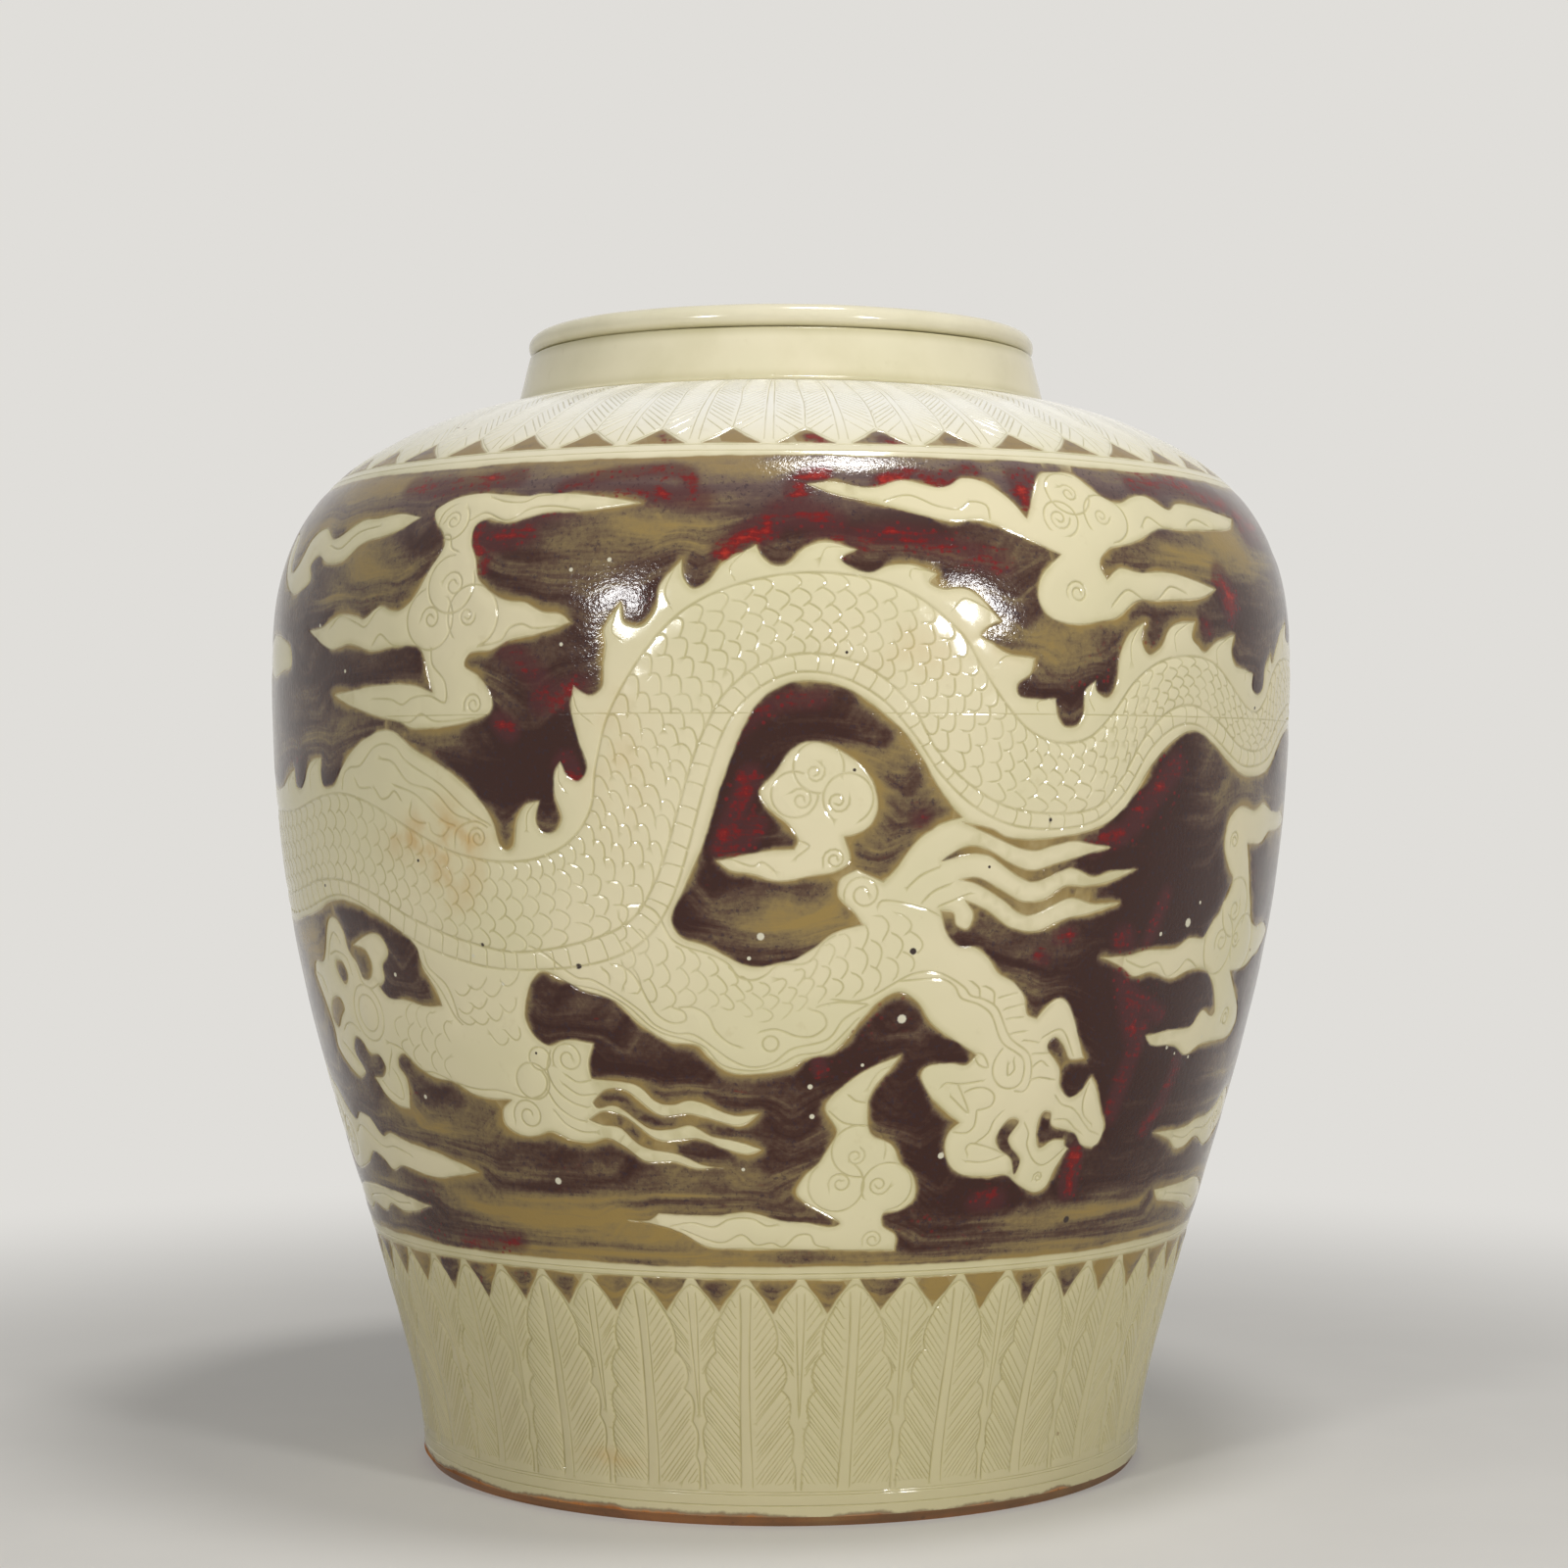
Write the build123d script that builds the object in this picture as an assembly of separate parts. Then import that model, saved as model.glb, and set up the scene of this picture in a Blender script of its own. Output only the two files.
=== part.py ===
from build123d import *
import os

# A large stoneware storage jar with high full shoulders, a short collar and a thick rolled lip.
# A jar of this size is too big to throw in one go. The potter starts with a beaten disc, raises the
# wall in rings of about 100 mm and lets each one stiffen. The next ring is seated on its bevelled
# rim, and a coil of soft clay is pressed into the joint from inside. The collar and the lip are last.
# Millimetres, +Z up, origin at the middle of the foot, front of the jar towards -Y.
# Everything is turned, so each piece is a half section in the XZ plane, revolved about Z.

# Driving dimensions
HEIGHT = 480.0
BELLY_RADIUS = 218.5
FOOT_RADIUS = 154.0
MOUTH_RADIUS = 98.0
COLLAR_ROOT_RADIUS = 114.0

# Outside of the wall from the foot's bevel to the root of the collar: radius, height, thickness.
# The wall is heaviest where it carries the rest, and thins towards the shoulder.
WALL_STATIONS = [
    (FOOT_RADIUS, 4.0, 15.0),
    (161.5, 49.0, 13.5),
    (182.5, 122.0, 12.0),
    (207.0, 214.0, 10.5),
    (BELLY_RADIUS, 330.0, 9.5),
    (213.0, 380.0, 9.0),
    (188.0, 417.5, 9.0),
    (160.0, 434.5, 9.0),
    (COLLAR_ROOT_RADIUS + 3.0, 448.2, 9.0),
]
FOOT_LEAN = (0.02, 1.0)
SHOULDER_LEAN = (-1.0, 0.22)

# Heights outside at which the rings of the wall are joined. Each joint falls towards the inside.
JOINTS = {"foot": 101.0, "lower": 207.0, "belly": 313.0, "shoulder": 412.0}
JOINT_SLOPE = 0.5

# Foot and base: the disc is hollowed underneath, so that the jar stands on a ring.
FOOT_BEVEL = 3.0
FOOT_RING_INNER = 135.0
DISC_FOOT_RADIUS = 147.0
DISC_TOP_RADIUS = 143.0
DISC_TOP = 20.5
DISC_RECESS = 5.5
DISC_DOME = 2.0

# Collar and lip
COLLAR_TOP_RADIUS = 108.6
COLLAR_TOP = 470.4
COLLAR_BOTTOM = 440.5
COLLAR_COVE = 2.6
COLLAR_TOP_ROUND = 1.4
COLLAR_BOTTOM_ROUND = 4.0
LIP_ROLL_RADIUS = 5.4
LIP_ROLL_CENTRE = 103.8

# Coils of soft clay inside the joints
COIL_RISE = 5.5
COIL_HALF_HEIGHT = 8.0
CORNER_COIL_RADIUS = 7.0

FAR = 2 * HEIGHT


def at(radius, height):
    """A point of the half section."""
    return Vector(radius, 0, height)


def outline(*lines):
    """The flat face that a closed chain of lines bounds."""
    return make_face(Curve() + list(lines)).face()


def polygon(*corners):
    """The flat face with straight sides between corners."""
    return outline(Polyline(*corners, close=True))


def nearest_axis(shape):
    """Of the faces that a cut leaves, the one closest to the jar's axis."""
    return sorted(shape.faces(), key=lambda face: face.center().X)[0]


def turned(face):
    """The solid that one turn of a half section makes."""
    return revolve(face, Axis.Z, 360)


def outer_line():
    """The outside of the wall."""
    points = [at(radius, height) for radius, height, thickness in WALL_STATIONS]
    return Spline(*points, tangents=[at(*FOOT_LEAN), at(*SHOULDER_LEAN)])


def inner_line(outer):
    """The inside of the wall, set in by the thickness, square to the outside."""
    points = []
    for radius, height, thickness in WALL_STATIONS:
        lean = outer.tangent_at(outer.param_at_point(at(radius, height)))
        points.append(at(radius - lean.Z * thickness, height + lean.X * thickness))
    return Spline(*points, tangents=[at(*FOOT_LEAN), at(*SHOULDER_LEAN)])


def point_at_height(line, height):
    """The place on a wall line at a height, found by halving."""
    low, high = 0.0, 1.0
    for _ in range(40):
        middle = (low + high) / 2
        if (line @ middle).Z < height:
            low = middle
        else:
            high = middle
    return line @ low, line % low


def base_disc_face():
    """The beaten disc: bevelled edge, hollowed and faintly domed underside."""
    dome = ThreePointArc(
        at(-FOOT_RING_INNER, DISC_RECESS),
        at(0, DISC_RECESS + DISC_DOME),
        at(FOOT_RING_INNER, DISC_RECESS),
    )
    half_dome = dome.trim(0.5, 1)
    rim = Polyline(
        half_dome @ 1,
        at(FOOT_RING_INNER, 0),
        at(DISC_FOOT_RADIUS, 0),
        at(DISC_TOP_RADIUS, DISC_TOP),
        at(0, DISC_TOP),
        half_dome @ 0,
    )
    return outline(half_dome, rim)


def wall_face(outer, inner, disc):
    """The whole wall above and round the disc, before it is parted into rings."""
    ends = Polyline(
        inner @ 0,
        at(FOOT_RING_INNER, 0),
        at(FOOT_RADIUS - FOOT_BEVEL, 0),
        outer @ 0,
    )
    whole = outline(outer, Line(outer @ 1, inner @ 1), inner, ends)
    parts = (whole - disc).faces()
    return sorted(parts, key=lambda face: face.area)[-1]


def joint_ends(outer, height):
    """Two points of a joint's line, far outside and far inside the wall."""
    place = point_at_height(outer, height)[0]
    reach = at(FAR, FAR * JOINT_SLOPE)
    return place + reach, place - reach


def ring_face(wall, outer, low, high):
    """The ring of the wall between two joints, or to the wall's end where a joint is None."""
    low_ends = joint_ends(outer, low) if low else (at(FAR, -FAR), at(-FAR, -FAR))
    high_ends = joint_ends(outer, high) if high else (at(FAR, FAR), at(-FAR, FAR))
    slab = polygon(low_ends[0], high_ends[0], high_ends[1], low_ends[1])
    return (wall & slab).face()


def coil_face(wall, outer, inner, height):
    """A flattened coil over a joint's inner end."""
    place, lean = point_at_height(outer, height)
    seat_height = height
    for _ in range(6):
        seat, lean = point_at_height(inner, seat_height)
        seat_height = height - (place.X - seat.X) * JOINT_SLOPE
    inward = Vector(-lean.Z, 0, lean.X)
    local = Plane(origin=seat, x_dir=inward, z_dir=(0, -1, 0))
    coil = local * Ellipse(COIL_RISE, COIL_HALF_HEIGHT)
    return nearest_axis(coil.face() - wall)


def corner_coil_face(corner, *neighbours):
    """A round coil in the corner between two pieces."""
    local = Plane(origin=corner, x_dir=(1, 0, 0), z_dir=(0, -1, 0))
    coil = (local * Circle(CORNER_COIL_RADIUS)).face()
    for neighbour in neighbours:
        coil = nearest_axis(coil - neighbour)
    return coil


def collar_face(outer, inner):
    """The collar: coved into the shoulder, leaning in a little, with a straight bore."""
    root = outer @ 1
    cove_corner = root + (outer % 1) * ((root.X - COLLAR_ROOT_RADIUS) / -(outer % 1).X)
    outside = FilletPolyline(
        root,
        cove_corner,
        at(COLLAR_TOP_RADIUS, COLLAR_TOP),
        at(LIP_ROLL_CENTRE, COLLAR_TOP),
        radius=[COLLAR_COVE, COLLAR_TOP_ROUND],
    )
    inside = FilletPolyline(
        at(LIP_ROLL_CENTRE, COLLAR_TOP),
        at(MOUTH_RADIUS, COLLAR_TOP),
        at(MOUTH_RADIUS, COLLAR_BOTTOM),
        inner @ 1,
        radius=[COLLAR_TOP_ROUND, COLLAR_BOTTOM_ROUND],
    )
    return outline(outside, inside, Line(inner @ 1, root))


def lip_face():
    """The rolled lip: a round roll cut flat where it sits on the collar."""
    local = Plane(origin=at(LIP_ROLL_CENTRE, HEIGHT - LIP_ROLL_RADIUS), z_dir=(0, -1, 0))
    roll = (local * Circle(LIP_ROLL_RADIUS)).face()
    above = polygon(at(0, COLLAR_TOP), at(FAR, COLLAR_TOP), at(FAR, FAR), at(0, FAR))
    return (roll & above).face()


def half_sections():
    """Every piece of the jar by name, as a half section."""
    outer = outer_line()
    inner = inner_line(outer)
    disc = base_disc_face()
    wall = wall_face(outer, inner, disc)
    collar = collar_face(outer, inner)
    sections = {
        "base_disc": disc,
        "foot_ring": ring_face(wall, outer, None, JOINTS["foot"]),
        "lower_ring": ring_face(wall, outer, JOINTS["foot"], JOINTS["lower"]),
        "middle_ring": ring_face(wall, outer, JOINTS["lower"], JOINTS["belly"]),
        "upper_ring": ring_face(wall, outer, JOINTS["belly"], JOINTS["shoulder"]),
        "shoulder": ring_face(wall, outer, JOINTS["shoulder"], None),
        "collar": collar,
        "lip": lip_face(),
    }
    for name, height in JOINTS.items():
        sections[f"{name}_joint_coil"] = coil_face(wall, outer, inner, height)
    base_corner = point_at_height(inner, DISC_TOP)[0]
    sections["base_joint_coil"] = corner_coil_face(base_corner, wall, disc)
    sections["collar_joint_coil"] = corner_coil_face(inner @ 1, wall, collar)
    return sections


os.makedirs("parts", exist_ok=True)
for name, section in half_sections().items():
    solid = turned(section)
    export_step(solid, f"parts/{name}.step")
    box = solid.bounding_box()
    print(f"{name}: z {box.min.Z:.1f} to {box.max.Z:.1f}, radius {box.max.X:.1f}, {solid.volume / 1e6:.3f} l")
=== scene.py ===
# %% [markdown]
# # A storage jar with a carved dragon
# The jar is thick stoneware, thrown in rings, carved while it was leather hard, painted with a brown
# wash round the carving, and glazed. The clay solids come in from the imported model, and this script
# dresses them: it carves the wall, glazes every piece, and sets up a plain studio.
# Everything is in metres, in the model's own frame, with the front of the jar towards -Y.

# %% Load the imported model
import math
import bpy
import numpy as np
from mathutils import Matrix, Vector
from mathutils.geometry import delaunay_2d_cdt
from mathutils.kdtree import KDTree


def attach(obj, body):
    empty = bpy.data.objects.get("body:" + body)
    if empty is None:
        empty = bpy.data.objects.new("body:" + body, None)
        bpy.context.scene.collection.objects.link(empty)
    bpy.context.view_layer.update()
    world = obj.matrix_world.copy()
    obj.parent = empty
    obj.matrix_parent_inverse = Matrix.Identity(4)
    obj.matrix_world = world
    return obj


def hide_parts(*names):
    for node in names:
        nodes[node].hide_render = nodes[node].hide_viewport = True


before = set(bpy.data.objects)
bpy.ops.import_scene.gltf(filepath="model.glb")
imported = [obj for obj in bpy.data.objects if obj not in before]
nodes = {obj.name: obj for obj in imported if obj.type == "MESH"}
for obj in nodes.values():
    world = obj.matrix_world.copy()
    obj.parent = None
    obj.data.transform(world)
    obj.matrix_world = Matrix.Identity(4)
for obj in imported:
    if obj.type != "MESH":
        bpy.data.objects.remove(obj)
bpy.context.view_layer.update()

scene = bpy.context.scene
bpy.ops.object.select_all(action="DESELECT")

# %% [markdown]
# ## The picture's view
# A long lens at the height of the jar's waist, level, so that the sides stay upright. The camera
# stands 1.38 m from the jar's axis. Depth of field stays off, so that every other view is sharp too.

# %% Camera
CAMERA_PLACE = (0.0013, -1.382, 0.287)
LENS = 73.1  # mm, on a sensor 36 mm wide

camera_data = bpy.data.cameras.new("studio_camera")
camera_data.lens = LENS
camera_data.sensor_width = 36.0
camera_data.clip_end = 60.0
camera = bpy.data.objects.new("studio_camera", camera_data)
camera.location = CAMERA_PLACE
camera.rotation_euler = (math.radians(90), 0, 0)
scene.collection.objects.link(camera)
scene.camera = camera
scene.view_settings.view_transform = "Standard"
print("camera:", CAMERA_PLACE, "lens", LENS, "mm")

# %% [markdown]
# ## Reading the wall's line from the clay
# The outside of the four rings and the shoulder is one turned surface. Its line could be typed in
# again, but then it could drift from the model. So it is read from the corners of the clay pieces'
# outward faces, and a smooth cubic runs through them. The inside line is read in the same way.

# %% The wall's outer and inner line
MM = 0.001
RINGS = ["foot_ring", "lower_ring", "middle_ring", "upper_ring", "shoulder"]


def lengths(line):
    """How far along a line each of its places is."""
    return np.r_[0, np.cumsum(np.linalg.norm(np.diff(line, axis=0), axis=1))]


def places_at(line, at, marks):
    """Places on a line, where marks tells how far along each of its own places is."""
    return np.stack([np.interp(at, marks, line[:, 0]), np.interp(at, marks, line[:, 1])], axis=1)


def unit(vectors):
    """The same directions at length 1."""
    return vectors / np.maximum(np.linalg.norm(vectors, axis=-1, keepdims=True), 1e-12)


def corners_facing(name, wanted):
    """Radius and height, in mm, of a clay piece's corners on the faces that point the wanted way."""
    mesh = nodes[name].data
    found = set()
    for face in mesh.polygons:
        middle = face.center
        reach = math.hypot(middle.x, middle.y)
        outward = (face.normal.x * middle.x + face.normal.y * middle.y) / reach
        if wanted(outward, face.normal.z, middle.z / MM):
            for corner in face.vertices:
                place = mesh.vertices[corner].co
                height = round(place.z / MM, 2)
                found.add((round(math.hypot(place.x, place.y) / MM, 2), height))
    return found


def corners_of(name):
    """The radii and the heights, in mm, of all corners of a clay piece."""
    places = np.array([corner.co[:] for corner in nodes[name].data.vertices]) / MM
    return np.round(np.hypot(places[:, 0], places[:, 1]), 2), np.round(places[:, 2], 2)


def top_of(name):
    """The height of a clay piece's highest corner, in mm."""
    return float(corners_of(name)[1].max())


def reach_at(name, height):
    """How far out a clay piece has a corner at a height, both in mm."""
    radii, heights = corners_of(name)
    return float(radii[heights == height].max())


def thinned(found):
    """Corners in order up the wall, without those that nearly repeat the one before."""
    kept = []
    for radius, height in sorted(found, key=lambda pair: math.atan2(pair[1] - 300, pair[0] - 60)):
        if not kept or math.hypot(radius - kept[-1][0], height - kept[-1][1]) > 1.5:
            kept.append((radius, height))
    return kept


def cubic_through(points, step):
    """A smooth line through points, as places about step mm apart."""
    knots = np.array([(p[0], p[1]) for p in points], float)
    count = len(knots)
    along = lengths(knots)
    gap = np.diff(along)
    rows = np.eye(count)
    right = np.zeros((count, 2))
    for k in range(1, count - 1):
        rows[k, k - 1:k + 2] = gap[k - 1], 2 * (gap[k - 1] + gap[k]), gap[k]
        right[k] = 6 * ((knots[k + 1] - knots[k]) / gap[k] - (knots[k] - knots[k - 1]) / gap[k - 1])
    bend = np.linalg.solve(rows, right)
    at = np.linspace(0, along[-1], int(along[-1] / step) + 1)
    k = np.clip(np.searchsorted(along, at, side="right") - 1, 0, count - 2)
    after = ((at - along[k]) / gap[k])[:, None]
    before = 1 - after
    square = (gap[k] ** 2)[:, None] / 6
    return before * knots[k] + after * knots[k + 1] + square * (
        (before ** 3 - before) * bend[k] + (after ** 3 - after) * bend[k + 1])


def faces_out(outward, up, height):
    return outward > 0.1 and up > -0.5


def faces_in(outward, up, height):
    return outward < -0.1 and up < 0.6 and height > 21 and not (height > 425 and up > 0.05)


outer_corners = set()
inner_corners = set()
for name in RINGS:
    outer_corners |= corners_facing(name, faces_out)
    inner_corners |= corners_facing(name, faces_in)
outer_line = cubic_through(thinned(outer_corners), 0.5)
inner_line = cubic_through(thinned(inner_corners), 0.5)
print("outer line:", len(outer_line), "places, widest", round(float(outer_line[:, 0].max()), 2), "mm")

# %% [markdown]
# ## A flat sheet for the drawing
# The dragon runs round a wall that is curved both ways. It is drawn on a flat sheet instead, like a
# map: x goes round the jar and y up the wall, both in millimetres as they measure at the belly. The
# map is conformal, so a circle on the sheet stays a circle on the wall, only smaller near the foot.

# %% The sheet and the way back to the wall
SHEET_RADIUS = 215.0
HALF_ROUND = math.pi * SHEET_RADIUS
SHEET_START = SHEET_RADIUS * outer_line[0, 1] / outer_line[0, 0]

steps = np.linalg.norm(np.diff(outer_line, axis=0), axis=1)
mid_radius = (outer_line[1:, 0] + outer_line[:-1, 0]) / 2
sheet_y = SHEET_START + np.r_[0, np.cumsum(SHEET_RADIUS * steps / mid_radius)]
lean = unit(np.gradient(outer_line, axis=0))
SHEET_TOP = float(sheet_y[-1])


def sheet_height(height):
    """Where a height of the wall, in mm, is on the sheet."""
    return float(np.interp(height, outer_line[:, 1], sheet_y))


def on_wall(x, y, depth):
    """Places of the sheet as places on the jar, in metres, pushed in by depth mm."""
    radius, height = places_at(outer_line, y, sheet_y).T
    way_out, way_up = places_at(lean, y, sheet_y).T
    radius = radius - depth * way_up
    height = height + depth * way_out
    turn = x / SHEET_RADIUS
    return np.stack([radius * np.sin(turn), -radius * np.cos(turn), height], axis=1) * MM


JOINT_HEIGHTS = [top_of(name) for name in RINGS[:-1]]
JOINT_LINES = [sheet_height(height) for height in JOINT_HEIGHTS]
LEVELS = [SHEET_START] + JOINT_LINES + [SHEET_TOP]
print("joints on the sheet:", [round(level, 1) for level in LEVELS])

# %% [markdown]
# ## Drawing tools
# An outline is a short list of places on the sheet, and a smooth line runs through them. A third
# value of 1 marks a sharp corner, such as the tip of a fin. Curls are spirals given by a formula.

# %% Smooth lines and curls
def smooth(points, step=1.3, closed=False):
    """Places about step mm apart on a smooth line through points, broken at the corners."""
    knots = [np.array(p[:2], float) for p in points]
    sharp = [len(p) > 2 for p in points]
    count = len(knots)
    line = []
    for i in range(count if closed else count - 1):
        j = (i + 1) % count
        here, there = knots[i], knots[j]
        whole = there - here
        at_start = sharp[i] or (i == 0 and not closed)
        at_end = sharp[j] or (j == count - 1 and not closed)
        back = here - 0.3 * whole if at_start else knots[i - 1]
        on = there + 0.3 * whole if at_end else knots[(j + 1) % count]
        gap_back, gap, gap_on = [max(math.sqrt(math.dist(a, b)), 0.01)
                                 for a, b in ((back, here), (here, there), (there, on))]
        pull = whole + gap * ((here - back) / gap_back - (there - back) / (gap_back + gap))
        push = whole + gap * ((on - there) / gap_on - (on - here) / (gap + gap_on))
        pieces = max(1, math.ceil(math.dist(here, there) / step))
        for t in np.arange(pieces) / pieces:
            line.append((2 * t ** 3 - 3 * t ** 2 + 1) * here + (t ** 3 - 2 * t ** 2 + t) * pull
                        + (3 * t ** 2 - 2 * t ** 3) * there + (t ** 3 - t ** 2) * push)
    if not closed:
        line.append(knots[-1])
    return np.array(line)


CURL_STEP = 1.3  # between a curl's places, mm


def curl(x, y, radius, start=180, turns=1.4, inner=0.25):
    """A spiral that winds in from radius to inner times radius. Negative turns wind clockwise."""
    length = abs(turns) * math.tau * radius * (1 + inner) / 2
    t = np.linspace(0, 1, max(6, int(length / CURL_STEP)))
    size = radius * (1 - (1 - inner) * t)
    angle = math.radians(start) + turns * math.tau * t
    return np.stack([x + size * np.cos(angle), y + size * np.sin(angle)], axis=1)


def moved(points, dx=0.0, dy=0.0, size=1.0, mirror=False):
    """An outline at another place of the sheet, larger or smaller, or mirrored left to right."""
    way = -size if mirror else size
    return [(dx + way * p[0], dy + size * p[1], *p[2:]) for p in points]


# %% [markdown]
# ## The clouds
# Carved clouds drift round the dragon: a knot of curling lobes with long tails that taper along the
# wind. Each is an outline that stays free of paint, with lobes, curls and waves cut into it.

# %% Cloud outlines, lobes and waves
CLOUDS = [
    [(-149, 449), (-141, 454), (-128, 456), (-104, 453.5), (-97, 454.5), (-70, 451.5), (-54, 448, 1),
     (-76, 445.2), (-92, 444.8), (-111, 441.5), (-120, 443.5), (-125, 440.5), (-125, 434), (-121.5, 427),
     (-119.5, 420), (-112, 413.5), (-104, 410.5), (-98, 410), (-90, 406), (-82, 405), (-78.5, 402, 1),
     (-88, 398.8), (-104, 396), (-112, 392.5), (-122, 391.5), (-124.5, 387), (-117, 382.5), (-111.8, 375),
     (-113, 369.5), (-150, 363.8), (-160, 366.5), (-190, 373), (-202, 377.5, 1), (-172, 380.5), (-150, 380),
     (-140.5, 377.5, 1), (-147, 393.5), (-160, 395), (-176, 394), (-190, 397), (-206, 395.5),
     (-226, 403.5, 1), (-212, 404.5), (-200, 408.5), (-187, 407.5), (-181, 406.5), (-171, 411),
     (-162.5, 408.5), (-157, 409.5), (-149, 416.5), (-144, 425), (-139, 433), (-141, 438.5), (-147, 444)],
    [(-280, 436), (-266, 425), (-250, 419.5), (-231, 424), (-234.5, 430.5), (-228, 434), (-217, 430.5),
     (-203, 430.5), (-190, 437), (-170, 440.5), (-156, 446.5, 1), (-170, 449), (-184, 447.8), (-196, 447.5),
     (-216, 441), (-230, 446.5), (-243, 443), (-250, 433.5), (-260, 429), (-266, 432.5), (-274, 445),
     (-285, 448)],
    [(-314, 396, 1), (-285, 404), (-249, 397.5), (-247, 391), (-260, 388.5), (-285, 387), (-300, 390)],
    [(10.5, 456.5, 1), (20, 457.8), (36, 455), (48, 459), (64, 456), (74, 461), (83, 459.5), (92, 452),
     (98, 443, 1), (110.5, 464.5), (118, 466.8), (127.5, 466), (135.5, 458), (146, 452.5), (156, 456),
     (165, 457.3), (177.5, 451.5), (185, 455), (233, 451.5, 1), (225, 446.5), (183, 442.5), (167, 441.8),
     (147, 434.5), (134, 431.5), (128.5, 425.5), (131, 419.5, 1), (138, 424), (148, 423), (168, 423.5),
     (196, 418.5, 1), (186, 415), (160, 412.5), (145, 411.5), (133, 404.5), (105, 403.5), (99, 410),
     (100.5, 419), (110.5, 428.5, 1), (90, 436.5), (79, 441), (65, 440.5), (36, 448), (20, 452)],
    [(-7.5, 340), (-2, 347), (4, 355.5), (12, 358.5), (28, 351), (34.5, 342), (36, 333), (31.5, 326),
     (23.5, 323.5, 1), (25.5, 314.5), (20.5, 310.5), (12, 309), (-1, 307), (-10, 309.5), (-19, 311),
     (-23.5, 314.5, 1), (-5, 318.3), (5, 318.8, 1), (6.5, 322), (3, 328), (-5, 335)],
    [(48.5, 237.5, 1), (33, 230.5), (18.5, 216), (23.5, 205), (20, 197.5), (16, 190.5), (10, 184),
     (7.5, 176), (26.5, 162), (22, 160.3), (12, 162.5), (-1, 164), (-14, 167.5), (-30, 166),
     (-55, 166.3, 1), (-60, 162.8), (-70, 162.3, 1), (-57, 160.5), (-46, 157), (-33, 150.3), (-15, 149.8),
     (52.5, 148.3, 1), (52.3, 155.5), (46, 160.5), (46, 166.5), (54, 167.8), (60, 173.5), (58, 185),
     (52, 190), (48, 198), (38, 205), (37, 221), (45, 232.5)],
    [(206.5, 322.5), (210, 329.5), (219, 333.5), (235, 332.5), (245, 334.8), (260, 332), (284, 331),
     (300, 327.5, 1), (275, 324), (258, 323.5), (247, 319), (229.5, 319, 1), (247, 288.5), (256, 284),
     (275, 285), (292, 280, 1), (275, 273), (262, 270), (248, 266), (231, 266, 1), (242, 257), (254, 248),
     (256.5, 242), (250, 236), (216, 234.5), (203, 230.5), (191, 235.5), (174, 237), (169.5, 241, 1),
     (186, 242.5), (203, 243.5), (210, 249.5), (221, 246.5), (223.5, 248), (209, 266.5), (193, 268),
     (180, 265), (165, 268.3), (155, 266.8), (146, 271.5), (135, 275.5, 1), (149, 276), (161, 277.5),
     (179, 277.5), (188, 281.5), (200, 281.5), (206, 288), (219, 304), (214, 309), (207.5, 317)],
    [(191, 195.5, 1), (223, 195.5), (234, 198), (252, 199.5), (266, 203), (278, 209), (303, 198, 1),
     (275, 186), (260, 182.8), (238, 189), (228, 185.5), (217, 185.5), (207, 191)],
    [(207, 166, 1), (240, 165.8), (262, 166), (285, 161), (300, 154, 1), (282, 149), (266, 149), (250, 154),
     (230, 158), (212, 161)],
    [(-300, 221), (-288, 214), (-272, 209), (-250, 196.5), (-240, 200.5), (-228, 199.5), (-218, 191.5),
     (-209, 193.5), (-194, 190.5), (-170, 187), (-147, 180.3, 1), (-178, 175), (-205, 178), (-216, 175),
     (-224, 180), (-235, 182), (-248, 175.5), (-280, 170), (-296, 178), (-306, 190), (-308, 206)],
    [(-312, 155, 1), (-275, 162), (-227, 164), (-188, 159.8, 1), (-203, 155.5), (-218, 154), (-231, 156),
     (-241, 151.5), (-259, 153.5), (-272, 149), (-290, 150)],
]
# Lobes: middle, radius, and the middle and radius of the curl inside
LOBES = [
    (-132.5, 418, 11.5, -131, 417.5, 5.5), (-142.5, 405, 12, -141.5, 405, 5),
    (-121, 405.5, 12, -123.5, 405.5, 4), (-137, 443.5, 8, -137, 443.5, 4.5),
    (121, 456, 10.5, 121.5, 455.5, 4.5), (114, 443.5, 8, 113, 443.5, 5), (137, 445, 11, 134.5, 445.5, 4),
    (14, 349, 9.5, 12.5, 347, 4), (5, 339, 8.7, 7.5, 337, 4.5), (25, 337.5, 9.5, 21, 336.5, 4.5),
    (33.5, 196, 12, 32, 193.5, 4.5), (24, 180, 12.5, 26, 181, 5.5), (47, 179, 11.5, 43, 180, 5),
    (225.5, 293, 12.5, 224.5, 292, 5.5), (214, 278, 13, 216, 279, 6), (240, 277, 13, 231, 279.5, 4),
    (-291, 195, 14, -290, 195, 6), (-271, 186, 10, -272, 187, 5), (273, 196, 9, 271, 196, 4),
]
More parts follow.
